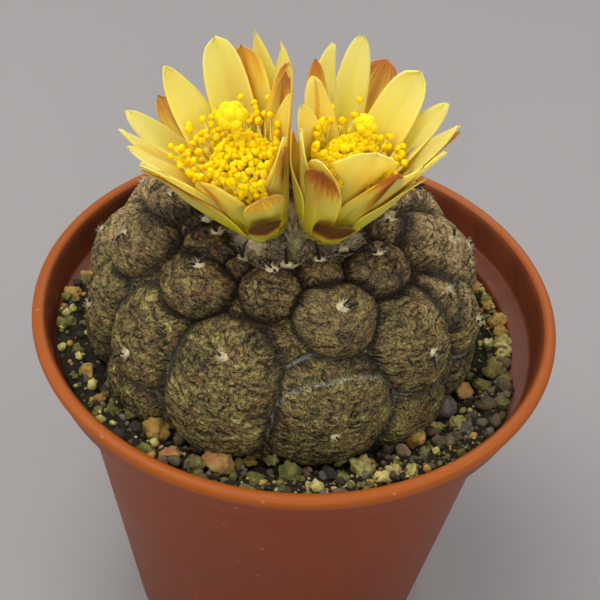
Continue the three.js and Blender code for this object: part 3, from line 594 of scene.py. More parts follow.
def tubercle_field(direction, down):
    """Height of the skin, distance to the border with the next tubercle, and the tubercle that a place is on."""
    best = GROOVE_FILL * np.minimum(down / GROOVE_FILL_DOWN, 1)
    second = best - 0.6
    best_slope, second_slope = np.zeros(len(down)), np.zeros(len(down))
    owner = np.zeros(len(down), int)
    nearest = np.full(len(down), 1e9)
    radius, _ = dome(down)
    for number, (middle, centre, half_width, height, half_length, _) in enumerate(TUBERCLES):
        turn = (direction - middle + 180) % 360 - 180
        across = np.radians(turn) * radius / half_width
        along = (down - centre) / half_length
        reach = across ** 2 + along ** 2
        rest = np.sqrt(np.maximum(1 - reach, 0))
        cap = height * rest
        slope = height / half_width * np.sqrt(reach) / np.maximum(rest, 0.15)
        above, between = cap > best, (cap <= best) & (cap > second)
        second_slope = np.where(above, best_slope, np.where(between, slope, second_slope))
        second = np.where(above, best, np.where(between, cap, second))
        best_slope = np.where(above, slope, best_slope)
        best = np.where(above, cap, best)
        claim = np.where(cap > 0, -cap, reach)
        owner = np.where(claim < nearest, number, owner)
        nearest = np.minimum(nearest, claim)
    return best, (best - second) / (best_slope + second_slope + 0.3), owner


def skin_points(direction, down):
    """Points of the skin for arrays of direction and distance down, in millimetres."""
    place, normal, slope = dome_frame(direction, down)
    height, border, owner = tubercle_field(direction, down)
    height = height + oval_step(direction, down, owner)
    fade = np.minimum(1, (DOME_LENGTH - down) / SKIN_FADE)
    lean = np.interp(down, DROOP_DOWN, DROOP_SLOPE)
    lifted = place + (normal + slope * lean[:, None]) * (height * fade)[:, None]
    return lifted, normal, border, owner


def oval_distance(direction, down):
    """Distance of a place outwards from the edge of the raised oval, in millimetres."""
    middle, centre, half_width, half_length = OVAL
    turn = (direction - middle + 180) % 360 - 180
    across = np.radians(turn) * dome(down)[0] / half_width
    along = (down - centre) / half_length
    reach = np.hypot(across, along)
    return (reach - 1) * reach / (np.hypot(across / half_width, along / half_length) + 1e-9)


def oval_step(direction, down, owner):
    """Height of the oval that stands a little higher on the front tubercle."""
    inside = 1 / (1 + np.exp(np.clip(oval_distance(direction, down), -3, 3) / 0.15))
    return OVAL_HEIGHT * inside * (owner == OVAL_TUBERCLE)


def areoles():
    """Place, in metres, and outward direction of every areole."""
    shown = TUBERCLES[TUBERCLES[:, 1] < AREOLE_LOWEST_DOWN]
    places, normals, _, _ = skin_points(shown[:, 0], shown[:, 5])
    return [(Vector(place) * MM, Vector(normal).normalized()) for place, normal in zip(places, normals)]


def wrinkle(across, along, seed):
    """Puffs and thin creases of the skin at a place on a tubercle, from -1 in a crease to 1: the creases run out
    from the areole above and beside it, and level below it."""
    reach = math.hypot(across, along)
    angle = math.atan2(across, -along)
    below = min(max((along - 0.25 * abs(across)) / 3.0, 0), 1)
    warp = noise.noise(Vector((across * 0.45, along * 0.45, seed)))
    radial = noise.noise(Vector((angle * 2.6 + 0.9 * warp, reach * 0.5 + warp, seed + 7)))
    level = noise.noise(Vector((across * 0.36 + warp, along * 0.72 + 1.1 * warp, seed + 19)))
    net = noise.noise(Vector((across * 0.8 + warp, along * 1.0, seed + 31)))
    large = radial + (level - radial) * below
    puff = 0.62 * min(abs(large) * 4.2, 1) ** 0.6 + 0.38 * min(abs(net) * 4.2, 1) ** 0.7
    return (2 * puff - 1) * min(reach / 1.6, 1)


# Forms of the blooms


def bloom_matrix(bloom):
    """Matrix to the part's frame from a bloom's own, whose axis is +Z and front -Y, in millimetres."""
    lean = math.radians(bloom["lean"])
    right = Vector((math.cos(lean), 0, -math.sin(lean)))
    axis = Vector((math.sin(lean), 0, math.cos(lean)))
    turn = Matrix((right, Vector((0, 1, 0)), axis)).transposed().to_4x4()
    return Matrix.Translation(bloom["foot"]) @ turn


def in_bloom(matrix, direction, radius, height):
    """Point of a bloom at a direction, radius and height, in millimetres."""
    angle = math.radians(direction)
    return matrix @ Vector((radius * math.sin(angle), -radius * math.cos(angle), height))


def held_back(point, side, margin):
    """Keeps a point on its own bloom's side of the plane where the two blooms press together, softly."""
    plane = float(np.interp(point.z, MEETING_HEIGHTS, MEETING_PLACES))
    margin -= MEETING_PASS if side > 0 else 0
    gap = (point.x - plane) * side - margin
    if gap < MEETING_EASE:
        point.x = plane + side * (margin + MEETING_EASE * math.exp((gap - MEETING_EASE) / MEETING_EASE))
    return point


def blade_width(share, width, roundness):
    """Width of a tepal at a share of its length: pointed or broad, closing at the tip."""
    pointed = max(math.sin(math.pi * min(0.12 + 0.88 * share, 1) ** 1.1), 0) ** 0.8
    broad = math.sqrt(max(1 - (2 * share - 1) ** 4, 0)) * (0.55 + 0.45 * share)
    return width * max((1 - roundness) * pointed + roundness * broad, 0.45 if share < 0.5 else 0.015)


def blade_point(matrix, side, tepal, root, share, across, seed):
    """Point of a tepal's middle surface, with its bow, hollow, waved edges, curled tip, and the twist that turns
    those at the neighbouring bloom towards the front."""
    direction, lean, length, width, roundness = tepal[:5]
    bend = (tepal[8] if len(tepal) > 8 else 0) * 2.8 * max(share - 0.4, 0) ** 2
    root_radius, root_height, margin = root
    tip_radius = length * math.sin(math.radians(lean))
    tip_height = length * math.cos(math.radians(lean))
    start, middle, end = (1 - share) ** 2, 2 * share * (1 - share), share ** 2
    radius = start * root_radius + middle * (0.62 * tip_radius + 1.2) + end * tip_radius
    height = start * root_height + middle * 0.5 * tip_height + end * tip_height
    half = across * blade_width(share, width, roundness) / 2
    hollow = 0.3 * abs(half) ** 1.3 * math.sin(math.pi * min(share * 1.1, 1)) + 0.12 * abs(half)
    wave = 0.34 * across ** 2 * math.sin(9 * share + 2.6 * across + seed * 1.7) * share
    flutter = 0.5 * noise.noise(Vector((share * 3.1, across * 0.9, seed * 3.7))) * share
    curl = 0.9 * max(share - 0.78, 0) ** 1.5 * (4 + 6 * chance(seed)) * (0.35 if roundness > 0.6 else 1)
    angle = math.radians(direction)
    point = in_bloom(matrix, direction, radius - hollow + wave + flutter + curl, height)
    facing = math.exp(-((abs(direction) - 90) / 38) ** 2) if math.sin(angle) * side < 0 else 0
    angle -= side * math.radians(48) * facing * share
    sideways = matrix.to_3x3() @ Vector((math.cos(angle), math.sin(angle), 0))
    sway = 0.5 * noise.noise(Vector((share * 1.6, seed * 2.3, 4.0))) * share
    return held_back(point + sideways * (half + sway + bend), side, margin + 0.25 * chance(seed + 3))


def cup_reach(tepals, direction, height):
    """Radius of the cup that a bloom's tepals make, at a direction and height, in millimetres; the edges of the
    wider ones bend in further."""
    rows = sorted(tepals)
    turns = [row[0] for row in rows]
    leans = [math.radians(row[1]) for row in rows]
    tips = [(row[2] * math.sin(lean) - max(row[3] - WIDE_TEPAL, 0), row[2] * math.cos(lean))
            for row, lean in zip(rows, leans)]
    radius = np.interp(direction, turns, [tip[0] for tip in tips], period=360)
    top = np.interp(direction, turns, [tip[1] for tip in tips], period=360)
    share = (height - INNER_ROOT[1]) / (top - INNER_ROOT[1])
    return INNER_ROOT[0] + (radius - INNER_ROOT[0]) * share


def add_tepal(bm, matrix, side, tepal, root, seed, settings):
    """Adds one tepal: a grid moved onto the blade's surface and given its thickness."""
    columns, rows = settings.tepal_columns, settings.tepal_rows
    known = set(bm.verts)
    made = bmesh.ops.create_grid(bm, x_segments=columns, y_segments=rows, size=0.5, calc_uvs=False)
    places = bm.loops.layers.uv.verify()
    tint = bm.verts.layers.float_vector["tint"]
    blade = bm.verts.layers.float_vector["blade"]
    faces = {face for vert in made["verts"] for face in vert.link_faces}
    for vert in made["verts"]:
        across, share = 2 * vert.co.x, vert.co.y + 0.5
        vert[blade] = (across, share, seed)
        vert[tint] = tepal[5:8]
        for loop in vert.link_loops:
            loop[places].uv = (0.5 + 0.5 * across, share)
        vert.co = blade_point(matrix, side, tepal, root, share, across, seed) * MM
    bmesh.ops.recalc_face_normals(bm, faces=list(faces))
    bmesh.ops.solidify(bm, geom=list(faces), thickness=settings.tepal_thickness)
    for vert in set(bm.verts) - known:
        if vert[blade].z == 0:
            nearest = min(made["verts"], key=lambda other: (other.co - vert.co).length_squared)
            vert[blade] = nearest[blade]
            vert[tint] = nearest[tint]


# Settings that a user can change


def colour_property(name, description, default):
    """Setting that holds a colour."""
    return bpy.props.FloatVectorProperty(
        name=name, description=description, subtype="COLOR", size=3, min=0, max=1, default=default)


class PotSettings(bpy.types.PropertyGroup):
    """Sizes and colours of the pot."""

    sides: bpy.props.IntProperty(name="Sides", description="Steps round the pot", default=144, min=24)
    colour: colour_property("Colour", "Colour of the moulded plastic", (0.225, 0.038, 0.006))
    # The lip's colour is brighter than the body's as painted light from above
    lit_lip_colour: colour_property("Lip colour", "Colour of the cleaner, brighter lip", (0.31, 0.070, 0.006))
    roughness: bpy.props.FloatProperty(
        name="Roughness", description="Roughness of the satin plastic", default=0.5, min=0, max=1,
        subtype="FACTOR")


class SoilSettings(bpy.types.PropertyGroup):
    """Amounts and colours of the soil and its grit."""

    pebbles: bpy.props.IntProperty(name="Pebbles", description="Coarse grains on the soil", default=330, min=0)
    crumbs: bpy.props.IntProperty(name="Crumbs", description="Fine grains on the soil", default=2600, min=0)
    colour: colour_property("Colour", "Colour of the moist soil", (0.026, 0.020, 0.011))


class PlantSettings(bpy.types.PropertyGroup):
    """Fineness, relief and colours of the plant."""

    rows: bpy.props.IntProperty(name="Rows", description="Rows of faces down the skin", default=250, min=40)
    sectors: bpy.props.IntProperty(name="Sectors", description="Faces round the skin", default=380, min=60)
    wrinkle_depth: bpy.props.FloatProperty(
        name="Wrinkle depth", description="Depth of the folds in the skin", default=0.0003, unit="LENGTH")
    green: colour_property("Green", "Colour of the skin's raised net", (0.275, 0.23, 0.062))
    brown: colour_property("Brown", "Colour of the skin between the net", (0.195, 0.148, 0.052))
    wool_hairs: bpy.props.IntProperty(name="Wool hairs", description="Hairs on the crown", default=2200, min=0)


class BloomSettings(bpy.types.PropertyGroup):
    """Fineness and colours of the blooms."""

    tepal_rows: bpy.props.IntProperty(name="Tepal rows", description="Faces along a tepal", default=30, min=6)
    tepal_columns: bpy.props.IntProperty(
        name="Tepal columns", description="Faces across a tepal", default=12, min=4)
    tepal_thickness: bpy.props.FloatProperty(
        name="Tepal thickness", description="Thickness of a tepal", default=0.0002, unit="LENGTH")
    stamens: bpy.props.IntProperty(name="Stamens", description="Stamens in a bloom", default=740, min=1)
    yellow: colour_property("Yellow", "Colour of the tepals", (0.90, 0.61, 0.030))
    red_brown: colour_property("Red-brown", "Colour of the tepals' stripes and tips", (0.35, 0.090, 0.016))


class StageSettings(bpy.types.PropertyGroup):
    """Floor and light."""

    floor_colour: colour_property("Floor colour", "Colour of the plain floor", (0.295, 0.275, 0.266))
    key_power: bpy.props.FloatProperty(
        name="Key power", description="Power of the large soft light", default=3.6, unit="POWER")
    fill: bpy.props.FloatProperty(
        name="Fill", description="Brightness of the light from all round", default=0.36, min=0)


class CopiapoaSettings(bpy.types.PropertyGroup):
    """All the settings of the potted plant."""

    pot: bpy.props.PointerProperty(type=PotSettings)
    soil: bpy.props.PointerProperty(type=SoilSettings)
    plant: bpy.props.PointerProperty(type=PlantSettings)
    bloom: bpy.props.PointerProperty(type=BloomSettings)
    stage: bpy.props.PointerProperty(type=StageSettings)


# Materials


def plastic_material(settings):
    """Satin terracotta plastic with a lip painted brighter as light from above, an inside darkened by stain and
    painted shade, and faint dust.
    """
    material, tree, shader = new_material("terracotta_plastic", settings.roughness, Specular_IOR_Level=0.22)
    place = object_place(tree)
    height = add_node(tree, "SeparateXYZ", Vector=place).outputs["Z"]
    cloud = noise_of(tree, place, 55, 5)
    base = mixed(tree, stretched(tree, cloud, 0.3, 0.7), dimmed(settings.colour, 0.86), settings.colour)
    # Painted light: the lip's band takes a brighter colour for the light falling on the top of the pot
    on_lip = stretched(tree, height, LIP_BAND[0] * MM, LIP_BAND[1] * MM)
    base = mixed(tree, on_lip, base, settings.lit_lip_colour)
    # The inside is darkened partly by stain and partly by painted shade of the wall
    inside = attribute(tree, "inside")
    stain = patches(tree, place, 160, 6, 0.35, 0.75)
    stain_and_shade = mixed(tree, stain, (0.15, 0.035, 0.015), (0.07, 0.022, 0.012))
    base = covered(tree, base, inside, 0.85, stain_and_shade)
    specks = add_node(tree, "TexVoronoi", Vector=place, Scale=420).outputs["Distance"]
    sparse = patches(tree, place, 90, 2, 0.5, 0.62)
    dust = product(tree, stretched(tree, specks, 0.16, 0.06), sparse)
    base = covered(tree, base, dust, 0.4, (0.52, 0.36, 0.26))
    colour_in(tree, shader, base)
    tree.links.new(stretched(tree, cloud, 0.2, 0.8, 0.36, 0.52), shader.inputs["Roughness"])
    relief(tree, shader, noise_of(tree, place, 900, 3), 0.05, 0.0002)
    return material


def soil_material(settings):
    """Moist dark soil with greenish patches and fine crumbs."""
    material, tree, shader = new_material("soil_mix", 0.9, Specular_IOR_Level=0.3)
    place = object_place(tree)
    base = ramp(tree, noise_of(tree, place, 420, 8, 0.7), [
        (0.3, dimmed(settings.colour, 0.45)), (0.55, settings.colour), (0.72, (0.060, 0.045, 0.022)),
        (0.86, (0.16, 0.12, 0.05))])
    base = covered(tree, base, patches(tree, place, 110, 4, 0.55, 0.68), 0.6, (0.035, 0.045, 0.010))
    colour_in(tree, shader, base)
    relief(tree, shader, noise_of(tree, place, 650, 8, 0.75), 1.0, 0.0009)
    return material


def grit_material():
    """Porous stones, each in its own tint, with greenish growth in the hollows."""
    material, tree, shader = new_material("grit", 0.85, Specular_IOR_Level=0.3)
    place = object_place(tree)
    own = attribute(tree, "tint", "Color")
    mottle = patches(tree, place, 700, 6, 0.32, 0.68, 0.7)
    base = mixed(tree, mottle, mixed(tree, 0.6, own, (0.02, 0.014, 0.006)), own)
    base = covered(tree, base, patches(tree, place, 260, 5, 0.52, 0.68), 0.42, (0.075, 0.085, 0.012))
    colour_in(tree, shader, base)
    relief(tree, shader, noise_of(tree, place, 1300, 8, 0.75), 0.9, 0.0006)
    return material


def puffed(tree, vector, scale, detail):
    """Small puffs with thin creases between them, from 0 in a crease to 1."""
    cloud = noise_of(tree, vector, scale, detail, 0.5)
    away = calculated(tree, "ABSOLUTE", calculated(tree, "SUBTRACT", cloud, 0.5))
    return calculated(tree, "POWER", stretched(tree, away, 0.0, 0.16), 0.6)


def skin_material(settings):
    """Wrinkled skin: olive net on brown, browner at the crown and pale in old creases, with painted shade in the
    grooves and creases, painted highlights on the puffs and painted light on the flanks.
    """
    material, tree, shader = new_material("cactus_skin", 0.62, Specular_IOR_Level=0.2)
    place = object_place(tree)
    young = attribute(tree, "young")
    fold = attribute(tree, "fold")
    border = attribute(tree, "border")
    local = attribute(tree, "on_tubercle", "Vector")
    sideways = add_node(tree, "Mapping", Vector=local, Scale=(0.7, 1.15, 1)).outputs[0]
    coarse = puffed(tree, sideways, 0.5, 1.5)
    fine = puffed(tree, local, 1.15, 2.0)
    finest = puffed(tree, sideways, 3.1, 2.0)
    net = product(tree, fold, 0.36)
    for puffs, weight in ((coarse, 0.28), (fine, 0.20), (finest, 0.08)):
        net = calculated(tree, "ADD", net, product(tree, puffs, weight))
    tone = noise_of(tree, place, 190, 3)
    net = calculated(tree, "ADD", net, stretched(tree, tone, 0.3, 0.7, -0.15, 0.15))
    brown, green = settings.brown, settings.green
    # Ramps of the olive net on brown: their dark low end is painted shade in the creases and their bright top end a
    # painted highlight on the puffs
    old = ramp(tree, net, [
        (0.28, dimmed(brown, 0.16)), (0.45, dimmed(brown, 0.72)), (0.60, brown), (0.75, green),
        (0.94, (0.46, 0.39, 0.14))])
    fresh = ramp(tree, net, [
        (0.30, (0.012, 0.007, 0.004)), (0.48, (0.060, 0.035, 0.015)), (0.66, (0.128, 0.082, 0.029)),
        (0.88, (0.30, 0.21, 0.065))])
    base = mixed(tree, young, old, fresh)
    base = covered(tree, base, patches(tree, place, 75, 2, 0.5, 0.62), 0.4, (0.235, 0.170, 0.070))
    base = covered(tree, base, patches(tree, sideways, 0.55, 4, 0.52, 0.64, 0.6), 0.5, (0.27, 0.135, 0.050))
    # Painted light: the left and right flanks are brightened to tan as if lit from the side
    lit = product(tree, attribute(tree, "sunny"), stretched(tree, net, 0.35, 0.75, 0.3, 0.9))
    base = mixed(tree, lit, base, (0.62, 0.43, 0.19))
    # Painted shade: the thin cracks between the puffs are darkened
    crack_shade = product(tree, stretched(tree, coarse, 0.05, 0.36), stretched(tree, fine, 0.0, 0.34))
    base = mixed(tree, stretched(tree, crack_shade, 0, 1, 0.72, 0.0), base, (0.030, 0.019, 0.010))
    # Painted shade: the grooves between tubercles, a wider band low on the plant and the crease round the oval are
    # darkened
    dark = mixed(tree, young, (0.030, 0.021, 0.010), (0.018, 0.008, 0.006))
    base = covered(tree, base, attribute(tree, "groove"), 0.85, dark)
    pale = product(tree, stretched(tree, border, 0.06, 0.26, 1, 0), stretched(tree, young, 0.35, 0.0))
    pale = product(tree, pale, stretched(tree, noise_of(tree, place, 120, 3), 0.42, 0.58, 0.08, 0.8))
    pale = larger(tree, pale, product(tree, attribute(tree, "rim"), 0.36))
    base = mixed(tree, pale, base, (0.32, 0.34, 0.28))
    colour_in(tree, shader, base)
    low = relief(tree, shader, coarse, 1.0, 0.00065)
    low = relief(tree, shader, fine, 1.0, 0.00050, low)
    relief(tree, shader, finest, 0.7, 0.00016, low)
    return material


def grainy_material(name, roughness, grain, stops, stretch=(1, 1, 1), glow=None, **sockets):
    """Material whose colours run through the stops with noise of one grain; glow is how deep light goes in."""
    material, tree, shader = new_material(name, roughness, **sockets)
    if glow:
        shader.inputs["Subsurface Radius"].default_value = glow
    colour_in(tree, shader, ramp(tree, noise_of(tree, object_place(tree, stretch), *grain), stops))
    return material, tree, shader


def wool_material(name, low, middle, high):
    """Wool with a soft sheen, in three tones."""
    material, tree, shader = grainy_material(
        name, 0.9, (500, 4), [(0.3, low), (0.55, middle), (0.8, high)], glow=(0.002, 0.0016, 0.001),
        Sheen_Weight=0.06, Specular_IOR_Level=0.2, Subsurface_Weight=0.25)
    relief(tree, shader, noise_of(tree, object_place(tree), 2600, 4), 0.8, 0.0004)
    return material


def bud_material():
    """Dark brown and olive scales of the young bud."""
    return grainy_material("bud_scales", 0.7, (700, 4), [
        (0.35, (0.050, 0.032, 0.012)), (0.55, (0.16, 0.13, 0.040)), (0.75, (0.30, 0.27, 0.10))])[0]


def spine_material():
    """Black horny spines with a little brown."""
    return grainy_material("spine", 0.6, (1800, 3), [
        (0.35, (0.006, 0.005, 0.005)), (0.7, (0.035, 0.024, 0.018))], (1, 1, 0.3), Specular_IOR_Level=0.15)[0]


def tepal_material(name, settings, outer):
    """Silky translucent tepal: yellow with long veins, and red-brown on the middle, tip and edges."""
    material, tree, shader = new_material(name, 0.5, Specular_IOR_Level=0.2, Subsurface_Weight=0.9)
    shader.inputs["Subsurface Radius"].default_value = (0.03, 0.026, 0.008)
    blade = add_node(tree, "SeparateXYZ", Vector=attribute(tree, "blade", "Vector")).outputs
    tint = add_node(tree, "SeparateXYZ", Vector=attribute(tree, "tint", "Vector")).outputs
    across, share, seed = blade["X"], blade["Y"], blade["Z"]
    sides = {"X": product(tree, across, 4.5), "Y": product(tree, share, 1.1), "Z": seed}
    uv = add_node(tree, "CombineXYZ", **sides).outputs[0]
    veins = noise_of(tree, uv, 3.2, 5, 0.6)
    paler = mixed(tree, 0.55, settings.yellow, (0.75, 0.60, 0.33))
    base = mixed(tree, stretched(tree, share, 0.25, 0.9), settings.yellow, paler)
    base = mixed(tree, stretched(tree, veins, 0.3, 0.62, 0.25, 1), settings.yellow, base)
    deep = mixed(tree, 0.6, settings.yellow, (0.96, 0.57, 0.004))
    base = mixed(tree, stretched(tree, share, 0.46, 0.16), base, deep)
    ragged = product(tree, calculated(tree, "SUBTRACT", veins, 0.5), 0.5)
    side = calculated(tree, "ADD", calculated(tree, "ABSOLUTE", across), ragged)
    middle = stretched(tree, side, 0.62 if outer else 0.4, 0.12)
    middle = product(tree, middle, stretched(tree, share, 0.3, 0.75))
    end = stretched(tree, calculated(tree, "ADD", share, ragged), 0.62, 0.95)
    edge = product(tree, stretched(tree, side, 0.62, 0.98), stretched(tree, share, 0.3, 0.7))
    scale = product(tree, stretched(tree, tint["Y"], 1.32, 1.46), stretched(tree, share, 0.2, 0.5))
    red = product(tree, middle, tint["X"])
    for part, amount in ((end, tint["Y"]), (edge, tint["Z"]), (scale, 1.5)):
        red = larger(tree, red, product(tree, part, amount))
    orange = mixed(tree, 0.55, settings.yellow, (0.68, 0.26, 0.03))
    base = mixed(tree, stretched(tree, red, 0.05, 0.5, 0, 0.75), base, orange)
    base = mixed(tree, stretched(tree, red, 0.4, 1.0), base, settings.red_brown)
    base = mixed(tree, stretched(tree, red, 1.0, 1.6), base, (0.050, 0.033, 0.008))
    base = mixed(tree, stretched(tree, share, 0.12, 0.0, 0, 0.7), base, (0.88, 0.58, 0.02))
    colour_in(tree, shader, base)
    relief(tree, shader, veins, 0.35, 0.0003)
    return material


def tube_material():
    """Green-yellow flower tube with a few brown scars."""
    material, tree, shader = grainy_material("flower_tube", 0.5, (300, 4), [
        (0.3, (0.12, 0.09, 0.02)), (0.5, (0.33, 0.33, 0.035)), (0.7, (0.55, 0.48, 0.05))],
        glow=(0.002, 0.002, 0.0005), Subsurface_Weight=0.2)
    relief(tree, shader, noise_of(tree, object_place(tree, (1, 1, 0.3)), 1200, 4), 0.4, 0.0004)
    return material


def pollen_material(name, low, high, roughness=0.7):
    """Powdery yellow with a grainy surface."""
    material, tree, shader = grainy_material(
        name, roughness, (900, 4), [(0.35, low), (0.65, high)], glow=(0.002, 0.0018, 0.0003),
        Specular_IOR_Level=0.15, Subsurface_Weight=0.6)
    relief(tree, shader, noise_of(tree, object_place(tree), 3200, 4), 0.7, 0.0004)
    return material


def floor_material(settings):
    """Plain floor with faint clouds."""
    material, tree, shader = new_material("plain_floor", 0.8, Specular_IOR_Level=0.2)
    place = object_place(tree)
    paler = [min(c * 1.04, 1) for c in settings.floor_colour]
    colour_in(tree, shader, mixed(tree, noise_of(tree, place, 6, 2), settings.floor_colour, paler))
    return material


# Operators


class COPIAPOA_OT_pot(bpy.types.Operator):
    """Turns the plastic pot, with its rolled lip, collar, ledge and drain holes."""

    bl_idname = "copiapoa.pot"
    bl_label = "Pot"

    def execute(self, context):
        settings = context.scene.copiapoa.pot
        profile = [(0, 0), *POT_PROFILE, (0, 1.6)]
        marks = [int(i >= POT_INSIDE_FROM) for i in range(len(profile))]
        bm, ring = marked_profile("inside", profile, marks)
        for index, size in POT_ROUNDED.items():
            bmesh.ops.bevel(bm, geom=[ring[index + 1]], offset=size * MM, offset_type="OFFSET", segments=4,
                            profile=0.5, affect="VERTICES", material=-1)
        close_wall(bm, bm.verts[:] + bm.edges[:], settings.sides)
        pot = new_piece("pot_moulding", bm, [plastic_material(settings)], "pot")
        cut_drain_holes(pot)
        pot.data.set_sharp_from_angle(angle=math.radians(40))
        return {"FINISHED"}


def cut_drain_holes(pot):
    """Cuts the ring of drain holes through the pot's floor."""
    bm = bmesh.new()
    for i in range(DRAIN_HOLES):
        angle = 2 * math.pi * i / DRAIN_HOLES
        place = Vector((math.cos(angle), math.sin(angle), 0)) * DRAIN_CIRCLE * MM
        bmesh.ops.create_cone(bm, cap_ends=True, segments=32, radius1=DRAIN_RADIUS * MM,
                              radius2=DRAIN_RADIUS * MM, depth=8 * MM, matrix=Matrix.Translation(place))
    mesh = finished_mesh("drain_cutter", bm)
    cutter = new_object("drain_cutter", mesh)
    cut = pot.modifiers.new("Drain holes", "BOOLEAN")
    cut.object, cut.operation, cut.solver = cutter, "DIFFERENCE", "EXACT"
    graph = bpy.context.evaluated_depsgraph_get()
    holed = bpy.data.meshes.new_from_object(pot.evaluated_get(graph))
    pot.modifiers.clear()
    pot.data = holed
    bpy.data.objects.remove(cutter)
    bpy.data.meshes.remove(mesh)


def wall_radius(height):
    """Radius of the pot's inside at a height, in millimetres."""
    return float(np.interp(height, WALL_HEIGHTS, WALL_RADII))


def soil_rim(angle):
    """Height of the soil's top along the pot's wall, without its roughness, in millimetres."""
    away = (1 - math.cos(angle - SOIL_HIGH_SIDE)) / 2
    return SOIL_LEVEL - SOIL_FALL * away ** 2


def soil_edge(angle):
    """Radius at which the soil's top meets the pot's inside, in millimetres."""
    return wall_radius(soil_rim(angle) - 0.9)


def soil_height(x, y):
    """Height of the soil's top at a place, all in millimetres."""
    dip = SOIL_DIP * min(max((39 - math.hypot(x, y)) / 7, 0), 1)
    rough = 0.35 * (math.sin(1.7 * x + 0.9 * y) + math.sin(2.3 * y - 1.1 * x))
    return soil_rim(math.atan2(y, x)) - dip + rough


class COPIAPOA_OT_soil(bpy.types.Operator):
    """Fills the pot with crumbly soil that dips round the plant's foot."""

    bl_idname = "copiapoa.soil"
    bl_label = "Soil"

    def execute(self, context):
        settings = context.scene.copiapoa.soil
        low, high = SOIL_REACH
        rings = [(radius, SOIL_LEVEL) for radius in np.linspace(high, low, SOIL_RINGS)]
        profile = [(0, SOIL_WALL[0][1]), *SOIL_WALL, *rings, (0, 63)]
        marks = [0] * len(SOIL_WALL) + [2] + [1] * len(rings) + [0]
        bm = spun(profile, SOIL_STEPS, marks, "top")
        top = bm.verts.layers.float["top"]
        for vert in bm.verts:
            if vert[top] < 0.5:
                continue
            angle, reach = math.atan2(vert.co.y, vert.co.x), math.hypot(vert.co.x, vert.co.y) / MM
            if vert[top] > 1.5:
                height = min(SOIL_WALL[-1][1], soil_rim(angle) - 1.6)
            else:
                reach = low + (reach - low) * (soil_edge(angle) - low) / (high - low)
                x, y = reach * math.cos(angle), reach * math.sin(angle)
                crumbs = noise.fractal(Vector((x, y, 0)) * 0.8, 0.7, 2.1, 5) * 0.7
                height = soil_height(x, y) + crumbs - (0 if reach > 25 else 3)
            reach = min(reach, wall_radius(height))
            vert.co = Vector((reach * math.cos(angle), reach * math.sin(angle), height)) * MM
        new_piece("soil_bed", bm, [soil_material(settings)], "soil")
        self.scatter(settings)
        return {"FINISHED"}

    def scatter(self, settings):
        """Lays the named stones, the pebbles and the crumbs on the soil, with more crumbs on the right."""
        bm = bmesh.new()
        bm.verts.layers.float_vector.new("tint")
        for i, (x, y, size, kind) in enumerate(STONES):
            add_stone(bm, x, y, size, kind, 3000 + i, 4)
        for i in range(settings.pebbles):
            place = on_bed(i * GOLDEN_TURN, 31.0 + 9.6 * math.sqrt(chance(i + 4000)))
            size = 0.5 + 0.75 * chance(i + 4200) ** 2
            add_stone(bm, *place, size, small_kind(i + 4400), 4600 + i, 2)
        for i in range(settings.crumbs):
            angle, reach = 2 * math.pi * chance(i + 0.31), 30.5 + 10.4 * math.sqrt(chance(i + 7000))
            if chance(i + 8000) > 0.55 + 0.45 * math.cos(angle + 0.4):
                continue
            size = 0.2 + 0.42 * chance(i + 9000) ** 2
            add_stone(bm, *on_bed(angle, reach), size, small_kind(i + 11000), 13000 + i, 1)
        new_piece("soil_grit", bm, [grit_material()])


def on_bed(angle, reach):
    """Place on the soil at an angle and a distance from the pot's axis."""
    return reach * math.cos(angle), reach * math.sin(angle)


def small_kind(seed):
    """Kind of a small grain."""
    return SMALL_KINDS[int(chance(seed) * len(SMALL_KINDS))]


def add_stone(bm, x, y, size, kind, seed, fineness):
    """Adds one broken, crumbly stone: a ball with flats knocked off it, half sunk in the soil."""
    part = bmesh.new()
    tint = part.verts.layers.float_vector.new("tint")
    room = min((soil_edge(math.atan2(y, x)) - 0.5 * size) / math.hypot(x, y), 1)
    x, y = x * room, y * room
    made = bmesh.ops.create_icosphere(part, subdivisions=fineness, radius=1)["verts"]
    first, second, crumbly = STONE_KINDS[kind]
    stretch = Vector((0.85 + 0.5 * chance(seed + 1), 0.85 + 0.4 * chance(seed + 2),
                      0.7 + 0.35 * chance(seed + 3)))
    turn = Matrix.Rotation(6.3 * chance(seed + 4), 3, "Z") @ Matrix.Rotation(0.8 * chance(seed + 5), 3, "X")
    draws = [[chance(seed + 10 * k + n) for n in range(3)] for k in range(1, STONE_FLATS + 1)]
    flats = [Vector((x - 0.5, y - 0.5, z - 0.45)).normalized() for x, y, z in draws]
    place = Vector((x, y, soil_height(x, y) + 0.3 * size))
    for vert in made:
        point = vert.co.copy()
        for flat in flats:
            over = point.dot(flat) - 0.72
            if over > 0:
                point -= flat * over * 0.85
        lumps = noise.fractal(point * 1.7 + Vector((seed, 0, 0)), 0.6, 2.1, 3)
        share = min(max(0.5 + 0.9 * noise.noise(point * 1.6 + Vector((0, seed, 0))) - 0.25 * point.z, 0), 1)
        vert[tint] = Vector(first).lerp(Vector(second), share) * (1.25 if fineness < 4 else 1)
        point *= 1 + crumbly * lumps
        point = turn @ Vector((point.x * stretch.x, point.y * stretch.y, point.z * stretch.z)) * size + place
        inside = min(wall_radius(point.z) / math.hypot(point.x, point.y), 1)
        point.x, point.y = point.x * inside, point.y * inside
        vert.co = point * MM
    gather(bm, part)


class COPIAPOA_OT_plant(bpy.types.Operator):
    """Grows the plant's skin: the dome with its drooping tubercles, wrinkles and grooves."""

    bl_idname = "copiapoa.plant"
    bl_label = "Plant"

    def execute(self, context):
        settings = context.scene.copiapoa.plant
        downs = list(np.linspace(0, DOME_LENGTH, settings.rows + 1))
        radii, heights = dome(np.array(downs))
        profile = list(zip(radii, heights))
        profile += ROOT
        bm = spun(profile, settings.sectors, downs + [DOME_LENGTH] * len(ROOT), "down")
        skin = new_piece("plant_skin", bm, [skin_material(settings)], "plant_body")
        raise_tubercles(skin.data, settings)
        return {"FINISHED"}


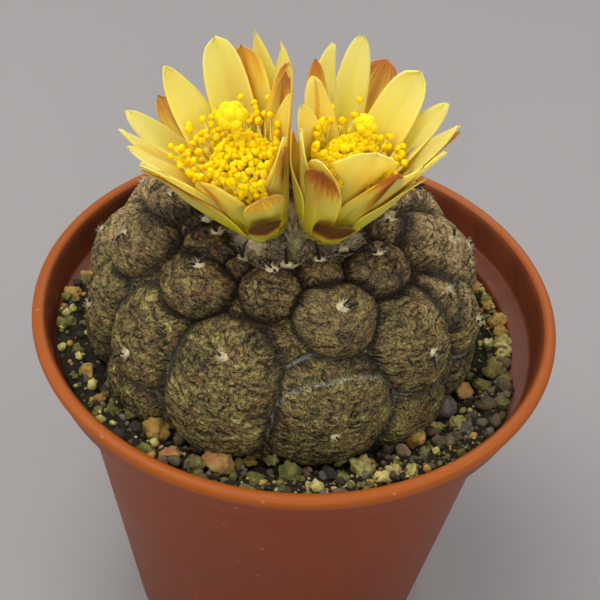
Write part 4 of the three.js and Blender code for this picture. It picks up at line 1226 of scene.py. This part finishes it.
def raise_tubercles(mesh, settings):
    """Moves the turned dome's vertices out to the tubercles and folds, and stores what the colours need."""
    count = len(mesh.vertices)
    place = np.empty(count * 3)
    mesh.vertices.foreach_get("co", place)
    place = place.reshape(-1, 3) / MM
    down = np.empty(count)
    mesh.attributes["down"].data.foreach_get("value", down)
    direction = np.degrees(np.arctan2(place[:, 0], -place[:, 1]))
    lifted, normal, border, owner = skin_points(direction, down)
    radius, _ = dome(down)
    row = TUBERCLES[owner]
    turn = (direction - row[:, 0] + 180) % 360 - 180
    across, along = np.radians(turn) * radius, down - row[:, 5]
    # Closeness to a groove, which deepens the skin there and darkens it as painted shade
    groove = np.exp(-(border / 0.7) ** 2)
    from_oval = np.where(owner == OVAL_TUBERCLE, oval_distance(direction, down), 9)
    upper = np.clip((OVAL[1] - down) / 2 + 0.2, 0, 1)
    # The crease round the raised oval is darkened as painted shade
    oval_crease_shade = np.exp(-((from_oval - 0.25) / 0.28) ** 2) * (0.25 + 0.45 * upper)
    folds = np.array([wrinkle(a, b, int(o)) for a, b, o in zip(across, along, owner)])
    folds *= np.clip(border / 1.2, 0.35, 1)
    raised = lifted + normal * (folds * settings.wrinkle_depth / MM - 0.25 * groove)[:, None]
    under = down >= DOME_LENGTH - 1e-6
    placed = place + np.array([PLANT_X, PLANT_Y, PLANT_Z])
    raised[under] = placed[under]
    mesh.vertices.foreach_set("co", (raised * MM).ravel())
    # The fold value also colours the skin: darker in creases as painted shade, lighter on puffs as painted
    # highlight
    store(mesh, "fold", np.clip(0.5 + 0.42 * folds, 0, 1))
    # Painted shade mask: the grooves between tubercles, a wider band low down and the crease round the oval
    wide = 0.35 * np.exp(-(border / 2.2) ** 2) * np.interp(down, [22, 30], [1, 0])
    store(mesh, "groove", np.clip(groove + wide + oval_crease_shade, 0, 1))
    # Painted light on the flanks, strongest part way down the dome
    flank = np.interp(np.abs(direction + 8), [58, 95], [0, 1])
    store(mesh, "sunny", flank * np.interp(down, [10, 16, 26, 36], [0, 1, 1, 0]))
    store(mesh, "young", np.interp(down + 3 * noise_row(place), [13, 29], [1, 0]))
    store(mesh, "border", np.clip(border, 0, 3))
    store(mesh, "rim", np.exp(-((from_oval + 0.30) / 0.22) ** 2) * upper)
    local = mesh.attributes.new("on_tubercle", "FLOAT_VECTOR", "POINT")
    local.data.foreach_set("vector", np.stack([across, along, owner * 7.0], 1).ravel())
    mesh.update()


def noise_row(places):
    """Slow noise at each of a list of places in millimetres."""
    return np.array([noise.noise(Vector(place) * 0.12) for place in places])


def store(mesh, name, values):
    """Stores a number at every vertex for the material."""
    made = mesh.attributes.new(name, "FLOAT", "POINT")
    made.data.foreach_set("value", values)


class COPIAPOA_OT_spines(bpy.types.Operator):
    """Sets a wool tuft with short black spines at each areole, and the crown's wool and bud."""

    bl_idname = "copiapoa.spines"
    bl_label = "Wool and spines"

    def execute(self, context):
        settings = context.scene.copiapoa.plant
        wool, crown, spines = bmesh.new(), bmesh.new(), bmesh.new()
        for number, (place, out) in enumerate(areoles()):
            add_tuft(wool, place, out, 0.8 + 0.25 * chance(number), number)
            add_areole_spines(spines, place, out, number)
        add_crown(crown, settings)
        for seed, bloom in enumerate((LEFT_BLOOM, RIGHT_BLOOM)):
            add_collar(crown, bloom, 31000 + 4000 * seed)
        add_bud(crown)
        cream = wool_material("cream_wool", (0.30, 0.22, 0.11), (0.62, 0.52, 0.31), (0.84, 0.75, 0.52))
        felt = wool_material("crown_felt", (0.040, 0.025, 0.013), (0.125, 0.085, 0.044), (0.36, 0.28, 0.165))
        new_piece("areole_wool", wool, [cream])
        new_piece("crown_wool", crown, [felt, bud_material(), cream])
        new_piece("spines", spines, [spine_material()])
        return {"FINISHED"}


def add_tuft(bm, place, out, size, seed):
    """Adds a low cushion of wool with short hairs that fan out of it."""
    part = bmesh.new()
    base = Matrix.Translation(place) @ turned_to(out)
    add_ball(part, place, base @ sized(size, size * 0.8, size * 0.5), 2, 0.35, 3000)
    for i in range(AREOLE_HAIRS):
        turn, spread = ROUND * chance(seed * 61 + i), 0.25 + 0.75 * chance(seed * 67 + i)
        away = Vector((math.cos(turn) * spread, math.sin(turn) * spread, 1.15 - 0.9 * spread)).normalized()
        length = size * (0.5 + 0.7 * chance(seed * 71 + i) ** 2) * MM
        start = base @ (Vector((away.x, away.y, 0.1)) * size * 0.5 * MM)
        direction = base.to_3x3() @ away
        bend = Vector((chance(i + seed) - 0.5, chance(i + seed + 9) - 0.5, 0.2)) * 0.4 * length
        points = [start, start + direction * length * 0.55, start + direction * length + bend]
        add_strand(part, points, TUFT_HAIR)
    gather(bm, part)


def add_areole_spines(bm, place, out, number):
    """Adds the spines that the photograph shows at an areole, or one to three short ones where none are known."""
    level = Vector((0, 0, 1)).cross(out).normalized()
    downward = level.cross(out).normalized() * (-1 if level.cross(out).z > 0 else 1)
    shown = SHOWN_SPINES.get(number)
    if shown is None:
        turns = [ROUND * chance(number * 13 + i + 0.5) for i in range(1 + int(2.4 * chance(number + 40)))]
        shown = [(math.cos(turn), math.sin(turn), 0.35, 1.2 + 1.4 * chance(number * 17 + i))
                 for i, turn in enumerate(turns)]
    for i, (sideways, down, outward, length) in enumerate(shown):
        direction = (level * sideways + downward * down + out * outward).normalized()
        length *= MM
        bend = (out * 0.5 + level * (chance(number + i) - 0.5)) * 0.16 * length
        points = [place, place + direction * length * 0.3 + bend * 0.7, place + direction * length * 0.7 + bend,
                  place + direction * length]
        add_strand(bm, points, SPINE, 6)


def add_collar(bm, bloom, seed):
    """Adds the wool that stands round a bloom's tube: low tufts and pale wisps."""
    matrix, side = bloom_matrix(bloom), bloom["side"]
    up = matrix.to_3x3() @ Vector((0, 0, 1))
    part = bmesh.new()
    for i in range(COLLAR_TUFTS):
        direction = 360 / COLLAR_TUFTS * i + 16 * chance(seed + i)
        place = held_back(in_bloom(matrix, direction, 3.6, -0.9 + 0.8 * chance(seed + i + 40)), side, 0.5)
        shape = Matrix.Translation(place * MM) @ sized(1.3, 1.3, 1.5)
        add_ball(part, place * MM, shape, 3, 0.6, 1300, 4, CREAM if place.x < -5 else FELT)
    gather(bm, part)

    def add_wisp(part, i):
        direction = 360 * chance(seed + i)
        wisp = 0.5 + 0.5 * noise.noise(Vector((direction * 0.05, seed, 0)))
        start = in_bloom(matrix, direction, 2.6 + 1.6 * chance(seed + i + 500),
                         -2.6 + 1.4 * chance(seed + i + 900))
        end = in_bloom(matrix, direction + 40 * (chance(seed + i + 1300) - 0.5),
                       3.9 + 3.2 * chance(seed + i + 1700), -0.8 + (1.2 + 2.6 * wisp) * chance(seed + i + 2100))
        middle = (start + end) / 2 + up * (0.8 * (chance(seed + i + 2500) - 0.3))
        points = [held_back(point, side, 0.1) * MM for point in (start, middle, end)]
        add_strand(part, points, WISP, material=CREAM)

    gather_many(bm, bloom["wisps"], add_wisp)


def add_bud(bm):
    """Adds the pointed young bud between the blooms, with its dark scales and hairs."""
    x, y, z, height, half_width = BUD
    part = bmesh.new()
    middle = Vector((x, y, z + height / 2)) * MM
    shape = Matrix.Translation(middle) @ sized(half_width, half_width, height / 2)
    made = bmesh.ops.create_uvsphere(part, u_segments=20, v_segments=14, radius=1, matrix=shape)
    for vert in made["verts"]:
        share = (vert.co.z - z * MM) / (height * MM)
        angle = math.atan2(vert.co.y - y * MM, vert.co.x - x * MM)
        scales = 1 + 0.16 * math.sin(3 * angle + 14 * share) + 0.1 * noise.noise(vert.co * 1500)
        narrow = scales * (1.1 - 0.65 * max(share, 0))
        vert.co.x, vert.co.y = x * MM + (vert.co.x - x * MM) * narrow, y * MM + (vert.co.y - y * MM) * narrow
    for face in part.faces:
        face.material_index = SCALES
    for i in range(BUD_HAIRS):
        turn, share = ROUND * chance(i + 51000), 0.15 + 0.8 * chance(i + 52000)
        away = Vector((math.cos(turn), math.sin(turn), 1.3)).normalized()
        start = Vector((x, y, z + height * share)) + Vector((math.cos(turn), math.sin(turn), 0)) * (1.2 - share)
        length = 1.0 + 1.6 * chance(i + 53000)
        points = [start, start + away * length * 0.5, start + away * length + Vector((0, 0, 0.4))]
        add_strand(part, [point * MM for point in points], BUD_HAIR, material=CREAM)
    gather(bm, part)


def add_crown(bm, settings):
    """Adds the crown's wool: tufts between the blooms' feet and long wavy hairs."""
    centre = Vector(CROWN)
    for i in range(CROWN_TUFTS):
        turn, reach = i * 2.4, CROWN_RADIUS * math.sqrt((i + 0.5) / CROWN_TUFTS)
        place = centre + Vector((1.3 * reach * math.cos(turn), reach * math.sin(turn),
                                 0.1 - 0.16 * reach + 0.8 * chance(i)))
        shape = Matrix.Translation(place * MM) @ Matrix.Rotation(turn, 4, "Z")
        size = 0.75 if place.x > 0.5 else 1
        shape = shape @ sized(2.4 * size, 2.2 * size, 2.2 * size)
        add_ball(bm, place * MM, shape, 4, 0.5, 1000, 5, CREAM if place.x < -4.5 else FELT)

    def add_hair(part, i):
        turn = ROUND * chance(i + 20000)
        reach = (CROWN_RADIUS + 2.4) * math.sqrt(chance(i + 21000))
        x, y = CROWN[0] + 1.25 * reach * math.cos(turn), CROWN[1] + reach * math.sin(turn)
        start = Vector((x, y, CROWN[2] + 1.0 - 0.24 * reach))
        away = Vector((math.cos(turn) * (0.3 + chance(i + 22000)), math.sin(turn) * (0.3 + chance(i + 23000)),
                       0.5 + 1.2 * chance(i + 24000))).normalized()
        length = 1.4 + 2.4 * chance(i + 25000)
        sway = Vector((chance(i + 26000) - 0.5, chance(i + 27000) - 0.5, chance(i + 28000) - 0.7))
        sway = sway * length * 0.5
        points = [start, start + away * length * 0.5 + sway * 0.3, start + away * length + sway]
        add_strand(part, [point * MM for point in points], CROWN_HAIR, material=CREAM)

    gather_many(bm, settings.wool_hairs, add_hair)


class COPIAPOA_OT_bloom(bpy.types.Operator):
    """Opens one bloom: tube, outer and inner tepals, stamens, style and stigma."""

    bl_idname = "copiapoa.bloom"
    bl_label = "Bloom"

    left: bpy.props.BoolProperty(name="Left", description="Build the bloom on the viewer's left", default=True)

    def execute(self, context):
        settings = context.scene.copiapoa.bloom
        bloom, inner, outer = (
            (LEFT_BLOOM, LEFT_INNER, LEFT_OUTER) if self.left else (RIGHT_BLOOM, RIGHT_INNER, RIGHT_OUTER))
        matrix, name, side, draw = bloom_matrix(bloom), bloom["name"], bloom["side"], bloom["draw"]
        for kind, rows, root, first in (
                ("inner", inner, INNER_ROOT, draw), ("outer", outer, OUTER_ROOT, draw + 40)):
            tepals = bmesh.new()
            for layer in ("tint", "blade"):
                tepals.verts.layers.float_vector.new(layer)
            for i, tepal in enumerate(rows):
                add_tepal(tepals, matrix, side, tepal, root, first + i, settings)
            materials = [tepal_material("tepal_" + kind, settings, kind == "outer")]
            if kind == "outer":
                add_tube(tepals, matrix, side)
                materials.append(tube_material())
            new_piece(f"{name}_{kind}_petals", tepals, materials, f"{name}_{kind}_tepals")
        self.add_stamens(bloom, matrix, inner, settings)
        self.add_style(bloom, matrix)
        return {"FINISHED"}

    def add_stamens(self, bloom, matrix, tepals, settings):
        """Stamens in a dense cluster round the style and looser ones along the tepals, all inside the cup."""
        bm = bmesh.new()
        name, side, seed = bloom["name"], bloom["side"], bloom["draw"]
        widest, top, fall = bloom["close"]
        close = int(settings.stamens * CLOSE_STAMENS)

        def add_ringed(part, i):
            direction = i * GOLDEN_DEGREES
            if i < close:
                radius = widest * math.sqrt((i + 0.5) / close)
                height = top - fall * radius ** 2 - 2.2 * chance(seed + i)
                forward = 1.0
            else:
                radius = 5.6 + 5.4 * chance(seed + i + 200) ** 0.8
                height = 10.5 + 0.34 * radius + 5.2 * chance(seed + i) ** 1.5
                forward = 0
            radius = min(radius, 0.84 * cup_reach(tepals, direction, height) - 0.6)
            tip = in_bloom(matrix, direction, radius, height) - Vector((0, forward, 0))
            self.add_stamen(part, matrix, side, direction, radius, tip, seed + i)

        def add_streaming(part, i):
            height = 4.8 + 8.5 * chance(seed + i + 3100)
            direction = 4 + (24 + 2 * height) * (chance(seed + i + 3200) - 0.5)
            radius = 0.93 * cup_reach(tepals, direction, height) - 1.6 * chance(seed + i + 3300)
            tip = in_bloom(matrix, direction, radius, height)
            self.add_stamen(part, matrix, side, direction, 0.5 * radius, tip, seed + 900 + i)

        gather_many(bm, settings.stamens, add_ringed)
        gather_many(bm, bloom["stream"], add_streaming)
        low, high = (0.84, 0.68, 0.06), (0.94, 0.86, 0.28)
        materials = [pollen_material("filament", low, high, 0.5),
                     pollen_material("pollen", (0.98, 0.60, 0.0005), (1.0, 0.78, 0.001))]
        new_piece(name + "_stamen_ring", bm, materials, name + "_stamens")

    def add_stamen(self, bm, matrix, side, direction, radius, tip, seed):
        """One filament from low in the cup to its tip, with its anther."""
        tip = held_back(tip, side, 0.9)
        foot = in_bloom(matrix, direction, 1.4 + 0.16 * radius, 1.0 + 0.2 * radius)
        middle = (foot + tip) / 2 + (matrix.to_3x3() @ Vector((0, 0, 0.5)))
        add_strand(bm, [point * MM for point in (foot, middle, tip)], FILAMENT, 4)
        self.add_anther(bm, tip, seed)

    def add_anther(self, bm, tip, seed):
        """One anther at a filament's tip."""
        turn = Matrix.Rotation(6.28 * chance(seed + 5), 4, "Z")
        turn = turn @ Matrix.Rotation(1.4 * chance(seed + 6), 4, "X")
        size = 0.45 + 0.15 * chance(seed + 7)
        shape = Matrix.Translation(tip * MM) @ turn @ sized(size * 0.95, size * 0.9, size * 1.15)
        add_ball(bm, tip * MM, shape, 2, 0.25, 2200, material=1)

    def add_style(self, bloom, matrix):
        """Style with a knob of crowded, velvety stigma lobes."""
        bm = bmesh.new()
        name, size = bloom["name"], bloom["knob"]
        foot, top = (in_bloom(matrix, 0, 0, height) * MM for height in (0.5, STYLE_TOP))
        add_strand(bm, [foot, (foot + top) / 2, top], STYLE, 10)
        head = in_bloom(matrix, 0, 0, STYLE_TOP + 0.6)
        axis = matrix.to_3x3() @ Vector((0, 0, 1))
        bmesh.ops.create_icosphere(
            bm, subdivisions=3, radius=1.7 * size * MM, matrix=Matrix.Translation(head * MM))
        for i in range(LOBES):
            rise = 1 - 1.25 * (i + 0.5) / LOBES
            turn = i * GOLDEN_TURN
            level = math.sqrt(1 - rise ** 2)
            out = matrix.to_3x3() @ Vector((level * math.cos(turn), level * math.sin(turn), rise))
            place = head + out * 1.25 * size - axis * 0.2
            shape = Matrix.Translation(place * MM) @ turned_to(out) @ sized(size, size, 0.95 * size)
            add_ball(bm, place * MM, shape, 3, 0.15, 1800)
        materials = [pollen_material("stigma", (1.0, 0.66, 0.003), (1.0, 0.76, 0.01), 0.6)]
        new_piece(name + "_stigma_and_style", bm, materials, name + "_style")


def add_tube(bm, matrix, side):
    """Adds the flower tube, turned about the bloom's axis and flattened where the blooms press together."""
    inner = [(radius - TUBE_WALL, height) for radius, height in reversed(TUBE_OUTER[3:])]
    profile = [*TUBE_OUTER, *inner, (1.9, -0.6), (0, -0.6)]
    ring = [bm.verts.new((radius, 0, height)) for radius, height in profile]
    edges = [bm.edges.new(pair) for pair in zip(ring, ring[1:])]
    known = set(bm.verts) - set(ring)
    turn_round(bm, ring + edges, TUBE_STEPS)
    fresh = [vert for vert in bm.verts if vert not in known]
    bmesh.ops.remove_doubles(bm, verts=fresh, dist=1e-4)
    fresh = [vert for vert in bm.verts if vert not in known]
    faces = list({face for vert in fresh for face in vert.link_faces})
    bmesh.ops.recalc_face_normals(bm, faces=faces)
    for face in faces:
        face.material_index = 1
    for vert in fresh:
        vert.co = held_back(matrix @ vert.co, side, 0.15) * MM


class COPIAPOA_OT_stage(bpy.types.Operator):
    """Sets the plain floor, the soft lights and the photograph's camera."""

    bl_idname = "copiapoa.stage"
    bl_label = "Stage"

    def execute(self, context):
        settings = context.scene.copiapoa.stage
        context.scene.view_settings.view_transform = "Standard"
        self.lay_floor(settings)
        for name, place, share in LIGHTS:
            self.add_light(name, place, settings.key_power * share)
        world = bpy.data.worlds.new("soft_room")
        context.scene.world = world
        world.use_nodes = True
        sky = world.node_tree.nodes["Background"].inputs
        sky["Color"].default_value, sky["Strength"].default_value = SKY, settings.fill
        self.set_camera(context)
        return {"FINISHED"}

    def lay_floor(self, settings):
        """A wide floor under the pot."""
        bm = bmesh.new()
        bmesh.ops.create_grid(bm, x_segments=2, y_segments=2, size=FLOOR_HALF_SIZE)
        floor = new_object("floor", finished_mesh("floor", bm))
        floor.data.materials.append(floor_material(settings))

    def add_light(self, name, place, power):
        """A square soft light that faces the plant."""
        data = bpy.data.lights.new(name, "AREA")
        data.energy, data.size = power, LIGHT_SIZE
        light = new_object(name, data)
        light.location = place
        light.rotation_euler = (Vector((0, 0, LIGHT_AIM)) - Vector(place)).to_track_quat("-Z", "Y").to_euler()

    def set_camera(self, context):
        """The photograph's camera, looking down on the pot with a slight roll."""
        level = math.cos(CAMERA_PITCH)
        forward = Vector((math.sin(CAMERA_YAW) * level, math.cos(CAMERA_YAW) * level, -math.sin(CAMERA_PITCH)))
        right = forward.cross(Vector((0, 0, 1))).normalized()
        up = right.cross(forward)
        rolled_right = math.cos(CAMERA_ROLL) * right + math.sin(CAMERA_ROLL) * up
        rolled_up = -math.sin(CAMERA_ROLL) * right + math.cos(CAMERA_ROLL) * up
        data = bpy.data.cameras.new("camera")
        data.sensor_width = SENSOR_WIDTH
        data.lens = SENSOR_WIDTH * FOCAL_LENGTHS
        camera = new_object("camera", data)
        turn = Matrix((rolled_right, rolled_up, -forward)).transposed().to_4x4()
        camera.matrix_world = Matrix.Translation(CAMERA_PLACE) @ turn
        context.scene.camera = camera


class COPIAPOA_PT_panel(bpy.types.Panel):
    """Lists the pieces of the potted plant."""

    bl_label = "Potted Copiapoa"
    bl_idname = "COPIAPOA_PT_panel"
    bl_space_type = "VIEW_3D"
    bl_region_type = "UI"
    bl_category = "Potted Copiapoa"

    def draw(self, context):
        for operator in OPERATORS:
            self.layout.operator(operator.bl_idname)


OPERATORS = (COPIAPOA_OT_pot, COPIAPOA_OT_soil, COPIAPOA_OT_plant, COPIAPOA_OT_spines, COPIAPOA_OT_bloom,
             COPIAPOA_OT_stage)
CLASSES = (PotSettings, SoilSettings, PlantSettings, BloomSettings, StageSettings, CopiapoaSettings, *OPERATORS,
           COPIAPOA_PT_panel)


def register():
    for cls in CLASSES:
        bpy.utils.register_class(cls)
    bpy.types.Scene.copiapoa = bpy.props.PointerProperty(type=CopiapoaSettings)


def unregister():
    del bpy.types.Scene.copiapoa
    for cls in reversed(CLASSES):
        bpy.utils.unregister_class(cls)


def main():
    """Builds every piece in order."""
    register()
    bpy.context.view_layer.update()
    bpy.ops.copiapoa.pot()
    bpy.ops.copiapoa.soil()
    bpy.ops.copiapoa.plant()
    bpy.ops.copiapoa.spines()
    bpy.ops.copiapoa.bloom(left=True)
    bpy.ops.copiapoa.bloom(left=False)
    bpy.ops.copiapoa.stage()
    bpy.context.view_layer.update()


if __name__ == "__main__":
    main()
